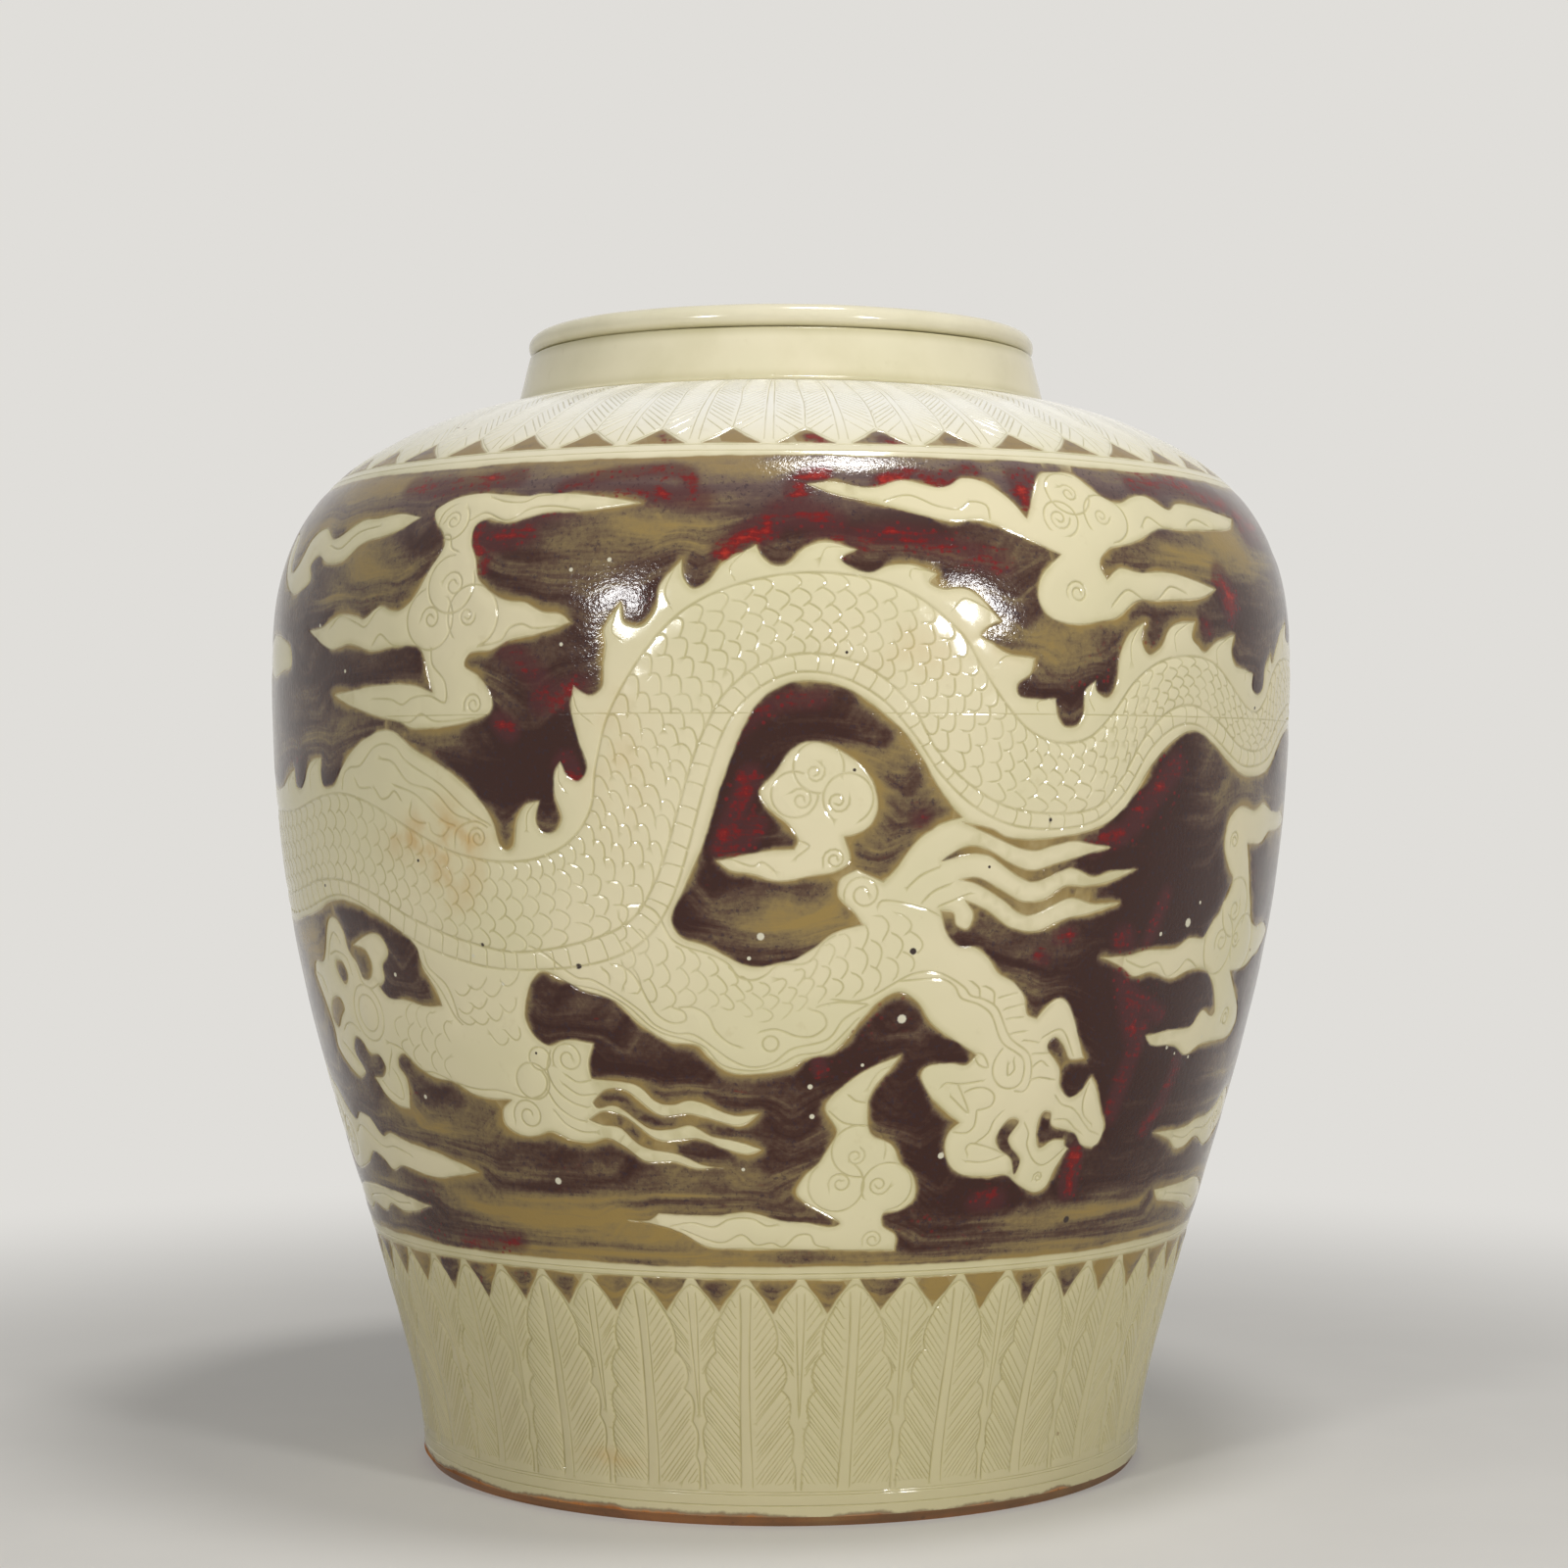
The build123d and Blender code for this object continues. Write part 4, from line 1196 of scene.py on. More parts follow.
def build_ring(k, name):
    """One ring of the wall as a closed body: its skin, its two joint faces and its inside."""
    low, high = LEVELS[k], LEVELS[k + 1]
    own = np.flatnonzero((middle_y > low) & (middle_y < high))
    outside = triangles[own]
    numbers = np.unique(twin[outside])
    new_number = np.full(len(sheet), -1)
    new_number[numbers] = np.arange(len(numbers))
    skin_faces = new_number[twin[outside]]
    lines, owners = np.unique(sides_of(outside), axis=0, return_counts=True)
    rim = np.unique(lines[owners == 1])
    rim = rim[np.abs(sheet[rim, 0]) < HALF_ROUND - 1e-2]
    ends = []
    for level in (low, high):
        line = rim[np.abs(sheet[rim, 1] - level) < 0.5]
        line = line[np.argsort(sheet[line, 0])]
        first = int(new_number[left[np.argmin(np.abs(sheet[left, 1] - level))]])
        loop = [(int(new_number[n]), float(sheet[n, 0]) / SHEET_RADIUS) for n in line]
        ends.append([(first, -math.pi), *loop, (first, math.pi)])

    bottom = [inner_corner(JOINT_HEIGHTS[k - 1])] if k else FOOT_CLOSE + [(inner_radius(DISC_TOP), DISC_TOP)]
    top = inner_corner(JOINT_HEIGHTS[k]) if k < 4 else tuple(inner_line[-1])
    path = bottom[:-1] + inside_rows(bottom[-1], top)
    corners = [skin[numbers]]
    rows = []
    length = 0.0
    last, final = places_at(outer_line, [low, high], sheet_y)
    start = len(numbers)
    turns = np.linspace(-math.pi, math.pi, INSIDE_STEPS + 1)[:-1]
    for radius, height in path:
        length += math.dist(last, (radius, height))
        last = (radius, height)
        wave = 0.25 * np.sin(5 * turns + height / 30) if 25 < height < 430 else 0
        reach = radius + wave
        corners.append(np.stack([reach * np.sin(turns), -reach * np.cos(turns),
                                 np.full(INSIDE_STEPS, height)], axis=1) * MM)
        ring = [(start + i, float(turn), length) for i, turn in enumerate(turns)]
        rows.append(ring + [(start, math.pi, length)])
        start += INSIDE_STEPS
    finish = length + math.dist(last, final)
    outer_low, outer_high = [[(number, turn, along) for number, turn in end]
                             for end, along in zip(ends, (0.0, finish))]
    other_faces = zip_up(outer_low, rows[0])
    for a, b in zip(rows[:-1], rows[1:]):
        other_faces += [(a[i], b[i], b[i + 1], a[i + 1]) for i in range(INSIDE_STEPS)]
    other_faces += zip_up(rows[-1], outer_high)

    mesh = bpy.data.meshes.new(name + "_carved")
    mesh.from_pydata(np.vstack(corners).tolist(), [],
                     skin_faces.tolist() + [[c[0] for c in face] for face in other_faces])
    add_maps(mesh, outside, other_faces, low, high, finish)
    for title, (values, rest) in held_values.items():
        whole = np.full(len(mesh.vertices), rest, dtype=np.float32)
        whole[:len(numbers)] = values[numbers]
        mesh.attributes.new(title, "FLOAT", "POINT").data.foreach_set("value", whole)
    sharp_rings = (outer_low, *rows[:len(bottom)], rows[-1], outer_high)
    mark_corners(mesh, [[c[0] for c in ring] for ring in sharp_rings])
    shading = np.zeros((len(mesh.loops), 3))
    shading[:3 * len(own)] = corner_normals[own].reshape(-1, 3)
    mesh.normals_split_custom_set(shading.tolist())
    body = bpy.data.objects.new(name + "_carved", mesh)
    body["skin_faces"] = len(skin_faces)
    scene.collection.objects.link(body)
    return body


def add_maps(mesh, outside, other_faces, low, high, finish):
    """Unrolls the ring into a square map: the skin in four rows, the inside beside it at half size."""
    fold = 2 * HALF_ROUND / FOLD_COUNT
    row = high - low + 2 * FOLD_GAP
    size = max(FOLD_COUNT * row, 1.5 * fold + 4 * FOLD_GAP)
    place = sheet[outside]
    strip = np.clip(((place[:, :, 0].mean(1) + HALF_ROUND) / fold).astype(int), 0, FOLD_COUNT - 1)
    across = place[:, :, 0] + HALF_ROUND - (strip * fold)[:, None] + FOLD_GAP
    up = place[:, :, 1] - low + FOLD_GAP + (strip * row)[:, None]
    flat = [np.stack([across, up], axis=2).reshape(-1, 2)]
    side_row = finish / 2 + 2 * FOLD_GAP
    for face in other_faces:
        middle = sum(c[1] for c in face) / len(face) * SHEET_RADIUS + HALF_ROUND
        part = min(FOLD_COUNT - 1, int(middle / fold))
        flat.append([((c[1] * SHEET_RADIUS + HALF_ROUND - part * fold) / 2 + fold + 3 * FOLD_GAP,
                      c[2] / 2 + FOLD_GAP + part * side_row) for c in face])
    whole = np.clip(np.vstack(flat) / size, 0.001, 0.999).astype(np.float32)
    bake = mesh.uv_layers.new(name="OFBake")
    bake.uv.foreach_set("vector", whole.ravel())


def mark_corners(mesh, loops):
    """Sharp edges round the joints, so that the skin and the joint faces shade apart."""
    owner = np.zeros(len(mesh.vertices), dtype=int)
    for number, loop in enumerate(loops, start=1):
        owner[loop] = number
    pairs = np.empty(len(mesh.edges) * 2, dtype=np.int32)
    mesh.edges.foreach_get("vertices", pairs)
    ends = owner[pairs.reshape(-1, 2)]
    sharp = (ends[:, 0] == ends[:, 1]) & (ends[:, 0] > 0)
    mesh.attributes.new("sharp_edge", "BOOLEAN", "EDGE").data.foreach_set("value", sharp)
    mesh.polygons.foreach_set("use_smooth", np.ones(len(mesh.polygons), dtype=bool))


# %% Tones of the wash, red patches and spots, by place on the sheet
# Wash: middle x and y, reach along and up, how thin it is there (or how thick, where negative)
THIN = [
    (-182, 421, 34, 13, 0.9), (-40, 438, 26, 9, 0.7), (212, 437, 34, 13, 0.8), (0, 294, 32, 10, 0.75),
    (-95, 161, 40, 11, 0.85), (130, 160, 75, 10, 0.8), (-255, 278, 24, 9, 0.8), (112, 392, 15, 9, 0.8),
    (-250, 365, 40, 12, 0.5), (60, 465, 90, 6, 0.6), (-100, 468, 120, 5, 0.6), (0, 144, 330, 4.5, 0.8),
    (150, 400, 40, 8, 0.5), (30, 290, 22, 7, 0.5), (-170, 205, 30, 8, 0.5), (-60, 155, 60, 6, 0.5),
    (170, 265, 34, 60, -0.7), (-18, 335, 16, 26, -0.7), (18, 366, 24, 9, -0.7), (-95, 352, 26, 22, -0.8),
    (70, 230, 16, 40, -0.6), (-30, 238, 50, 22, -0.5), (-60, 200, 40, 12, -0.5), (175, 215, 40, 30, -0.6),
    (20, 440, 50, 9, -0.55), (100, 170, 40, 8, -0.5), (140, 445, 30, 20, -0.4), (-130, 345, 60, 8, -0.5),
    (85, 200, 14, 30, -0.6), (-120, 415, 22, 12, -0.5), (215, 410, 30, 12, -0.5), (-210, 330, 50, 10, -0.4),
    (-70, 425, 60, 16, 0.45), (-250, 445, 50, 18, 0.5), (-140, 466, 120, 8, 0.35), (170, 432, 70, 8, 0.5),
    (-215, 385, 40, 8, -0.4), (110, 392, 30, 14, 0.5), (250, 425, 40, 10, 0.5), (-175, 180, 80, 14, 0.35),
    (-110, 160, 90, 12, 0.5), (190, 160, 60, 10, 0.5), (-235, 262, 40, 14, 0.5), (-40, 290, 12, 22, -0.5),
    (34, 345, 13, 22, 0.45), (200, 380, 60, 10, -0.4), (150, 300, 40, 40, -0.5), (2, 374, 24, 5, 0.5),
]
# Red: places along a patch, half its width, strength
FLAMES = [
    ([(6, 452), (10, 459), (16, 462)], 2.6, 1.1), ([(-20, 427), (-12, 433), (-5, 437)], 2.8, 1.25),
    ([(0, 443), (11, 442), (19, 439)], 3.5, 0.75), ([(40, 457), (52, 461), (66, 459), (78, 464)], 2.6, 0.95),
    ([(98, 447), (99, 455), (98, 463)], 2.4, 0.95), ([(102, 462), (106, 460)], 3.0, 0.9),
    ([(162, 463), (180, 467), (202, 465)], 4.0, 0.75), ([(200, 423), (204, 418), (208, 414)], 3.2, 1.1),
    ([(204, 412), (206, 409)], 2.4, 1.0), ([(185, 404), (188, 402)], 2.0, 0.8),
    ([(-122, 438), (-120.5, 430), (-118, 424)], 2.2, 1.0), ([(-115, 434), (-100, 437)], 3.0, 0.8),
    ([(-90, 373), (-75, 378)], 3.0, 0.7), ([(-108, 366), (-104, 363)], 2.4, 0.8),
    ([(-81, 350), (-79, 345)], 2.6, 0.9), ([(-88, 456), (-78, 460), (-38, 462), (-34, 451)], 2.2, 0.7),
    ([(-11, 346), (-17, 331), (-22, 318)], 2.4, 0.72), ([(125, 320.5), (132, 322), (140, 324)], 2.2, 0.95),
    ([(145, 328), (155, 338), (168, 350)], 3.0, 0.7), ([(113, 284), (118, 285)], 1.8, 0.9),
    ([(104, 277), (107, 276)], 1.6, 0.8), ([(15, 236), (16, 232)], 1.6, 0.9),
    ([(139, 190), (138.5, 182), (139, 173)], 2.6, 1.15), ([(156, 207), (160, 225), (165, 245)], 3.0, 0.62),
    ([(-165, 144), (-148, 146), (-130, 148)], 3.0, 0.6), ([(90, 170), (100, 171)], 3.0, 0.6),
    ([(-52, 486), (-50, 484)], 1.6, 0.5), ([(13, 484), (18, 482)], 2.0, 1.0),
    ([(44, 483), (52, 481)], 1.8, 0.9), ([(240, 445), (262, 452)], 3.5, 0.8),
    ([(-8, 328), (-16, 318)], 2.2, 0.7), ([(52, 330), (58, 326)], 2.2, 0.6),
    ([(150, 262), (175, 250)], 2.4, 0.6), ([(168, 300), (160, 280)], 2.2, 0.55),
    ([(-170, 462), (-140, 460), (-112, 463)], 3.2, 0.7), ([(-95, 446), (-60, 452), (-30, 449)], 3.0, 0.6),
    ([(14, 428), (40, 434), (62, 430), (84, 424)], 3.0, 0.65),
    ([(-108, 395), (-96, 386), (-88, 377)], 3.0, 0.6), ([(-18, 362), (-2, 372), (14, 374)], 2.4, 0.55),
    ([(146, 282), (152, 262), (160, 244)], 3.4, 0.7), ([(30, 268), (8, 262)], 2.0, 0.5),
    ([(206, 462), (232, 458), (258, 446)], 3.4, 0.8), ([(96, 250), (86, 244)], 2, 0.5),
    ([(182, 198), (192, 212), (196, 226)], 2.6, 0.6),
]
far_rng = np.random.default_rng(11)
for _ in range(44):
    x = far_rng.choice([-1, 1]) * far_rng.uniform(300, 655)
    y = far_rng.uniform(148, 466)
    THIN.append((x, y, far_rng.uniform(25, 60), far_rng.uniform(8, 16), far_rng.choice([-0.6, 0.8])))
    if far_rng.random() < 0.6:
        slope = far_rng.uniform(-4, 4)
        streak = [(x - 12, y - slope), (x, y + 2), (x + 12, y + slope)]
        FLAMES.append((streak, far_rng.uniform(1.8, 3.4), 1.0))
# Stains: middle x and y, reach along and up, strength
STAINS = [(-137, 315, 15, 18, 1.0), (-146, 322, 24, 7, 0.9), (-60, 350, 12, 30, 0.25),
          (60, 392, 30, 10, 0.3), (-94, 34, 18, 5, 0.6)]


def spread(spots):
    """A soft sum of patches over the sheet, each with its own reach both ways."""
    total = np.zeros(len(sheet))
    for x, y, reach_x, reach_y, amount in spots:
        total += amount * np.exp(-((sheet[:, 0] - x) / reach_x) ** 2 - ((sheet[:, 1] - y) / reach_y) ** 2)
    return total


def near_line(line, half_width):
    """1 on a line, falling to 0 at twice half_width from it."""
    places = dense(smooth(line), 0.8)[0]
    gap = np.full(len(sheet), 99.0)
    box = ((sheet[:, 0] > places[:, 0].min() - 9) & (sheet[:, 0] < places[:, 0].max() + 9)
           & (sheet[:, 1] > places[:, 1].min() - 9) & (sheet[:, 1] < places[:, 1].max() + 9))
    gap[box] = np.sqrt(((sheet[box][:, None] - places[None]) ** 2).sum(2)).min(1)
    return np.clip(1 - gap / (2 * half_width), 0, 1)


thin = np.clip(spread(THIN), -1, 1)
in_band = (sheet[:, 1] > BAND_LOW - 3) & (sheet[:, 1] < BAND_HIGH + 4)
speckled = np.sin(sheet[:, 0] / 7.3) * np.sin(sheet[:, 0] / 17.0 + 1) * 0.6 + 0.8
thin = np.where(in_band, thin, speckled)
flame = np.zeros(len(sheet))
for line, half_width, strength in FLAMES:
    flame = np.maximum(flame, strength * near_line(line, 1.4 * half_width))
pale_spot, dark_spot = np.zeros(len(sheet)), np.zeros(len(sheet))
for values, spots in ((pale_spot, PALE_SPOTS), (dark_spot, DARK_SPOTS)):
    for x, y, radius in spots:
        away = np.hypot(sheet[:, 0] - x, sheet[:, 1] - y)
        np.maximum(values, np.clip(3.4 - 4 * away / radius, 0, 1), out=values)
stain = np.clip(spread(STAINS), 0, 1)
flow = sheet[:, 1] + 0.8 * np.clip(paint_gap, 0, EDGE_REACH)
# What the mesh holds at its corners: the values on the skin, and the value for all the rest
held_values = {
    "paint_edge": (paint_edge, -EDGE_REACH), "cut_share": (cut_share, 0), "flow": (flow, 0),
    "thin": (thin, 0), "copper_red": (flame, 0), "pale_spot": (pale_spot, 0),
    "dark_spot": (dark_spot, 0), "stain": (stain, 0),
}
ring_pieces = {}
for k, name in enumerate(RINGS):
    piece = build_ring(k, name)
    ring_pieces[name] = piece
    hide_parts(name)
    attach(piece, "root")
    print(name + ":", len(piece.data.polygons), "faces")

# %% [markdown]
# ## Collar and lip
# The collar and the lip are thrown last, from a soft coil. Both are turned shapes, so half a section is
# drawn as a chain of corners and spun once round the axis. Then each is pressed in a little, unevenly,
# as a rim is when wet hands lift it. The section follows the clay model, with the same rounds.

# %% Half sections and the spin
SPIN_STEPS = 192


def rounded_section(corners, step):
    """A chain of corners (radius, height, round) as close places, with the corners rounded."""
    line = []
    for i, (radius, height, size) in enumerate(corners):
        here = np.array([radius, height], float)
        if size == 0:
            line.append(here)
            continue
        before = here - np.array(corners[i - 1][:2], float)
        after = np.array(corners[i + 1][:2], float) - here
        before /= np.linalg.norm(before)
        after /= np.linalg.norm(after)
        reach = size * math.tan(math.acos(np.clip(before @ after, -1, 1)) / 2)
        start, end = here - before * reach, here + after * reach
        for t in np.linspace(0, 1, 6):
            line.append((1 - t) ** 2 * start + 2 * t * (1 - t) * here + t * t * end)
    line = np.array(line)
    length = lengths(line)
    at = np.unique(np.r_[length, np.arange(0, length[-1], step)])
    return places_at(line, at[np.r_[True, np.diff(at) > 0.12]], length)


def spun(name, section):
    """A turned piece: the closed half section spun once round the jar's axis."""
    mesh = bpy.data.meshes.new(name)
    chain = [(i, (i + 1) % len(section)) for i in range(len(section))]
    mesh.from_pydata([(0, -radius * MM, height * MM) for radius, height in section], chain, [])
    piece = bpy.data.objects.new(name, mesh)
    scene.collection.objects.link(piece)
    bpy.ops.object.select_all(action="DESELECT")
    piece.select_set(True)
    bpy.context.view_layer.objects.active = piece
    bpy.ops.object.mode_set(mode="EDIT")
    bpy.ops.mesh.select_all(action="SELECT")
    bpy.ops.mesh.spin(steps=SPIN_STEPS, angle=math.tau, center=(0, 0, 0), axis=(0, 0, 1))
    bpy.ops.mesh.select_all(action="SELECT")
    bpy.ops.mesh.remove_doubles(threshold=0.00001)
    bpy.ops.mesh.normals_make_consistent(inside=False)
    bpy.ops.object.mode_set(mode="OBJECT")
    bpy.ops.object.shade_smooth_by_angle(angle=math.radians(50))
    return piece


def press_in(piece, most, middle_radius, middle_height):
    """Presses a turned piece in towards its own middle line by up to most mm, slowly round the jar."""
    for corner in piece.data.vertices:
        x, y, z = corner.co / MM
        reach = math.hypot(x, y)
        turn = math.atan2(x, -y)
        swell = (0.5 + 0.22 * math.sin(3 * turn + 0.4) + 0.16 * math.sin(7 * turn + 1.3 + z / 9)
                 + 0.1 * math.sin(z / 1.9 + turn) + 0.08 * math.sin(19 * turn))
        away = np.array([reach - middle_radius, z - middle_height])
        size = np.linalg.norm(away)
        if size > 1e-6:
            push = -most * swell * away / max(size, 3.0)
            scale = (reach + push[0]) / reach
            corner.co = Vector((x * scale, y * scale, z + push[1])) * MM
    piece.data.update()


# %% The collar
ROOT = outer_line[-1].tolist()
ROOT_INSIDE = inner_line[-1].tolist()
COLLAR_TOP = top_of("collar")
COLLAR_BOTTOM = 440.5
MOUTH_RADIUS = float(corners_of("collar")[0].min())
SHOULDER_SLOPE = 0.22
collar_corners = [
    (*ROOT, 0), (114.0, ROOT[1] + 3.0 * SHOULDER_SLOPE, 2.6), (108.6, COLLAR_TOP, 1.4),
    (103.8, COLLAR_TOP, 0), (MOUTH_RADIUS, COLLAR_TOP, 1.4), (MOUTH_RADIUS, COLLAR_BOTTOM, 4.0),
    (*ROOT_INSIDE, 0),
]
collar = spun("collar_thrown", rounded_section(collar_corners, 1.3))
press_in(collar, 0.35, 104.0, 456.0)
print("collar:", len(collar.data.polygons), "faces, root at", [round(v, 1) for v in ROOT])

# %% The rolled lip
LIP_RADIUS = 5.4
LIP_MIDDLE = (103.8, 474.6)
SEAT_ANGLE = math.degrees(math.asin((LIP_MIDDLE[1] - COLLAR_TOP) / LIP_RADIUS))
lip_angles = np.radians(np.linspace(-SEAT_ANGLE, 180 + SEAT_ANGLE, 34))
lip_section = np.stack([LIP_MIDDLE[0] + LIP_RADIUS * np.cos(lip_angles),
                        LIP_MIDDLE[1] + LIP_RADIUS * np.sin(lip_angles)], axis=1)
lip = spun("lip_rolled", lip_section)
press_in(lip, 0.3, *LIP_MIDDLE)
for piece, node in ((collar, "collar"), (lip, "lip")):
    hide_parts(node)
    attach(piece, "root")
print("lip:", len(lip.data.polygons), "faces")

# %% [markdown]
# ## Node helpers
# Each glaze and clay is a tree of nodes, so a few short helpers keep the trees readable: one adds a
# node, some do sums, one mixes two colours, and one turns a value into a soft mask between two limits.
# A socket knows which tree it is in, so the helpers find the tree through the sockets they are given.
# Colours are written as they look on a screen, from 0 to 255, and turned into linear light here.

# %% Helpers for node trees
def colour(red, green, blue):
    """A screen colour as linear light."""
    return tuple((c / 255 / 12.92) if c <= 10 else ((c / 255 + 0.055) / 1.055) ** 2.4
                 for c in (red, green, blue)) + (1.0,)


def put(socket, value):
    """Links a socket or sets its value."""
    if isinstance(value, bpy.types.NodeSocket):
        socket.id_data.links.new(value, socket)
    else:
        socket.default_value = value


def add(kind, inputs, tree=None, **settings):
    """A node with its settings and its inputs, by name or number, in the tree of what it is linked to."""
    if tree is None:
        tree = next(value.id_data for value in inputs.values() if isinstance(value, bpy.types.NodeSocket))
    node = tree.nodes.new(kind)
    for title, value in settings.items():
        setattr(node, title, value)
    for socket, value in inputs.items():
        put(node.inputs[socket], value)
    return node


def sums(operation, *values, clamp=False):
    """One math node."""
    return add("ShaderNodeMath", dict(enumerate(values)), operation=operation, use_clamp=clamp).outputs[0]


def times(first, second):
    return sums("MULTIPLY", first, second)


def times_plus(first, second, third, clamp=False):
    """The first value times the second, plus the third."""
    return sums("MULTIPLY_ADD", first, second, third, clamp=clamp)


def centred(value):
    """A value from 0 to 1 moved to run from -0.5 to 0.5."""
    return sums("SUBTRACT", value, 0.5)


def blend(share, first, second):
    """The first colour turning into the second one as share goes from 0 to 1."""
    return add("ShaderNodeMix", {0: share, 6: first, 7: second}, data_type="RGBA").outputs[2]


def mask(value, low, high, least=0.0, most=1.0):
    """A soft mask: least below low, most above high."""
    limits = {0: value, 1: low, 2: high, 3: least, 4: most}
    return add("ShaderNodeMapRange", limits, interpolation_type="SMOOTHSTEP").outputs[0]


def grain(place, scale, detail=3.0, rough=0.55):
    """Cloudy noise from 0 to 1."""
    inputs = {"Vector": place, "Scale": scale, "Detail": detail, "Roughness": rough}
    return add("ShaderNodeTexNoise", inputs).outputs[0]


def dots(place, scale, inner, outer, strength=1.0):
    """Scattered dots, at full strength up to the inner reach and gone at the outer one, in cells."""
    gap = add("ShaderNodeTexVoronoi", {"Vector": place, "Scale": scale}).outputs["Distance"]
    return mask(gap, inner, outer, strength, 0.0)


def parts_of(place):
    """The three coordinates of a place."""
    return add("ShaderNodeSeparateXYZ", {0: place}).outputs


def stretched(parts, up, round_scale, up_scale):
    """A place scaled one way round the jar and another way up it, so that noise turns into streaks."""
    scaled = {0: times(parts[0], round_scale), 1: times(parts[1], round_scale), 2: times(up, up_scale)}
    return add("ShaderNodeCombineXYZ", scaled).outputs[0]


def held(tree, title):
    """A value that the mesh holds at each of its corners."""
    return add("ShaderNodeAttribute", {}, tree, attribute_name=title).outputs["Fac"]


def new_material(name):
    """A material, its surface shader and the object's own coordinates."""
    material = bpy.data.materials.new(name)
    material.use_nodes = True
    place = material.node_tree.nodes.new("ShaderNodeTexCoord").outputs["Object"]
    return material, material.node_tree.nodes["Principled BSDF"], place


def finish_surface(shader, tint, roughness, height, relief):
    """Gives a surface its colour, its roughness and a bump. Relief is the height of 1, in metres."""
    put(shader.inputs["Base Color"], tint)
    put(shader.inputs["Roughness"], roughness)
    bump = add("ShaderNodeBump", {"Height": height, "Strength": 1.0, "Distance": relief})
    put(shader.inputs["Normal"], bump.outputs[0])


def new_group(name, inputs, outputs):
    """A shader group that takes a place and named values, and gives a colour and named values."""
    group = bpy.data.node_groups.new(name, "ShaderNodeTree")
    group.interface.new_socket("Place", in_out="INPUT", socket_type="NodeSocketVector")
    for title, value in inputs.items():
        socket = group.interface.new_socket(title, in_out="INPUT", socket_type="NodeSocketFloat")
        socket.default_value = value
    group.interface.new_socket("Colour", in_out="OUTPUT", socket_type="NodeSocketColor")
    for title in outputs:
        group.interface.new_socket(title, in_out="OUTPUT", socket_type="NodeSocketFloat")
    return group, group.nodes.new("NodeGroupInput").outputs, group.nodes.new("NodeGroupOutput").inputs


def use_group(group, inputs):
    """Places a group in the tree that its inputs come from, and gives its outputs."""
    return add("ShaderNodeGroup", inputs, node_tree=group).outputs


# %% [markdown]
# ## The cream glaze
# The glaze is a cream that turns greener where it lies thick. Its Pale value whitens it: over the crest of
# the lip that is thin glaze, and on the wall's shoulder it is painted light, the top of the jar made whiter
# as if lit from above. It carries a few iron specks and pinholes. The wall, the collar and the lip share it,
# so it is a group that puts out a colour and a height for the bump.

# %% Group: cream glaze
CREAM = colour(217, 207, 172)
CREAM_DULL = colour(209, 201, 163)
CREAM_THIN_AND_LIT = colour(240, 237, 226)
CREAM_THICK = colour(166, 156, 104)
FLECK = colour(176, 160, 112)
IRON_SPECK = colour(120, 88, 52)
cream_group, given, out = new_group("cream_glaze", {"Thick": 0.0, "Pale": 0.0}, ["Height"])
place = given["Place"]
broad = grain(place, 9.0)
fine = grain(place, 120.0, 3.0, 0.6)
tint = blend(mask(broad, 0.35, 0.65), CREAM, CREAM_DULL)
# Pale whitens the cream: thin glaze over the lip's crest, painted light on the wall's shoulder.
tint = blend(given["Pale"], tint, CREAM_THIN_AND_LIT)
tint = blend(given["Thick"], tint, CREAM_THICK)
tint = blend(mask(fine, 0.62, 0.78, 0.0, 0.16), tint, FLECK)
iron = times(dots(place, 55.0, 0.035, 0.06), mask(grain(place, 22.0), 0.56, 0.62, 0.0, 0.8))
tint = blend(iron, tint, IRON_SPECK)
pores = times(dots(place, 90.0, 0.04, 0.09), mask(grain(place, 15.0), 0.55, 0.6))
swell = times_plus(broad, 0.9, times(fine, 0.03))
ripple = times_plus(grain(place, 45.0, 2.0), 0.16, swell)
put(out["Colour"], tint)
put(out["Height"], times_plus(pores, -0.12, ripple))
print("group:", cream_group.name, len(cream_group.nodes), "nodes")

# %% [markdown]
# ## The painted ground
# The ground between the dragon and the clouds was brushed with a wash of iron and copper. Where the
# brush was wet it fired to a deep aubergine, where it ran dry it stayed khaki, and a tan fringe is left
# along every outline. Here and there the copper came up blood red, in patches and in drops.

# %% Group: brushed wash
# From the bare, dry wash to the wettest
WASH_TONES = [(146, 122, 68), (134, 114, 72), (112, 94, 66), (86, 64, 50), (66, 40, 30), (54, 26, 18)]
WASH_HAZE = colour(134, 118, 116)
WASH_SPECK = colour(48, 34, 44)
RED_HALO = colour(78, 34, 36)
RED_DROP = colour(116, 14, 22)
RED_DEEP = colour(112, 10, 12)
RED_BRIGHT = colour(172, 38, 22)
MEAN_AMOUNT = 0.74
wash_group, given, out = new_group(
    "brushed_wash", {"Flow": 0.0, "Edge": 0.0, "Thin": 0.0, "Flame": 0.0, "Haze": 0.0}, ["Cover", "Height"])
place, edge, flame = given["Place"], given["Edge"], given["Flame"]
parts = parts_of(place)
level = times_plus(grain(place, 26.0, 2.0), 0.012, parts[2])
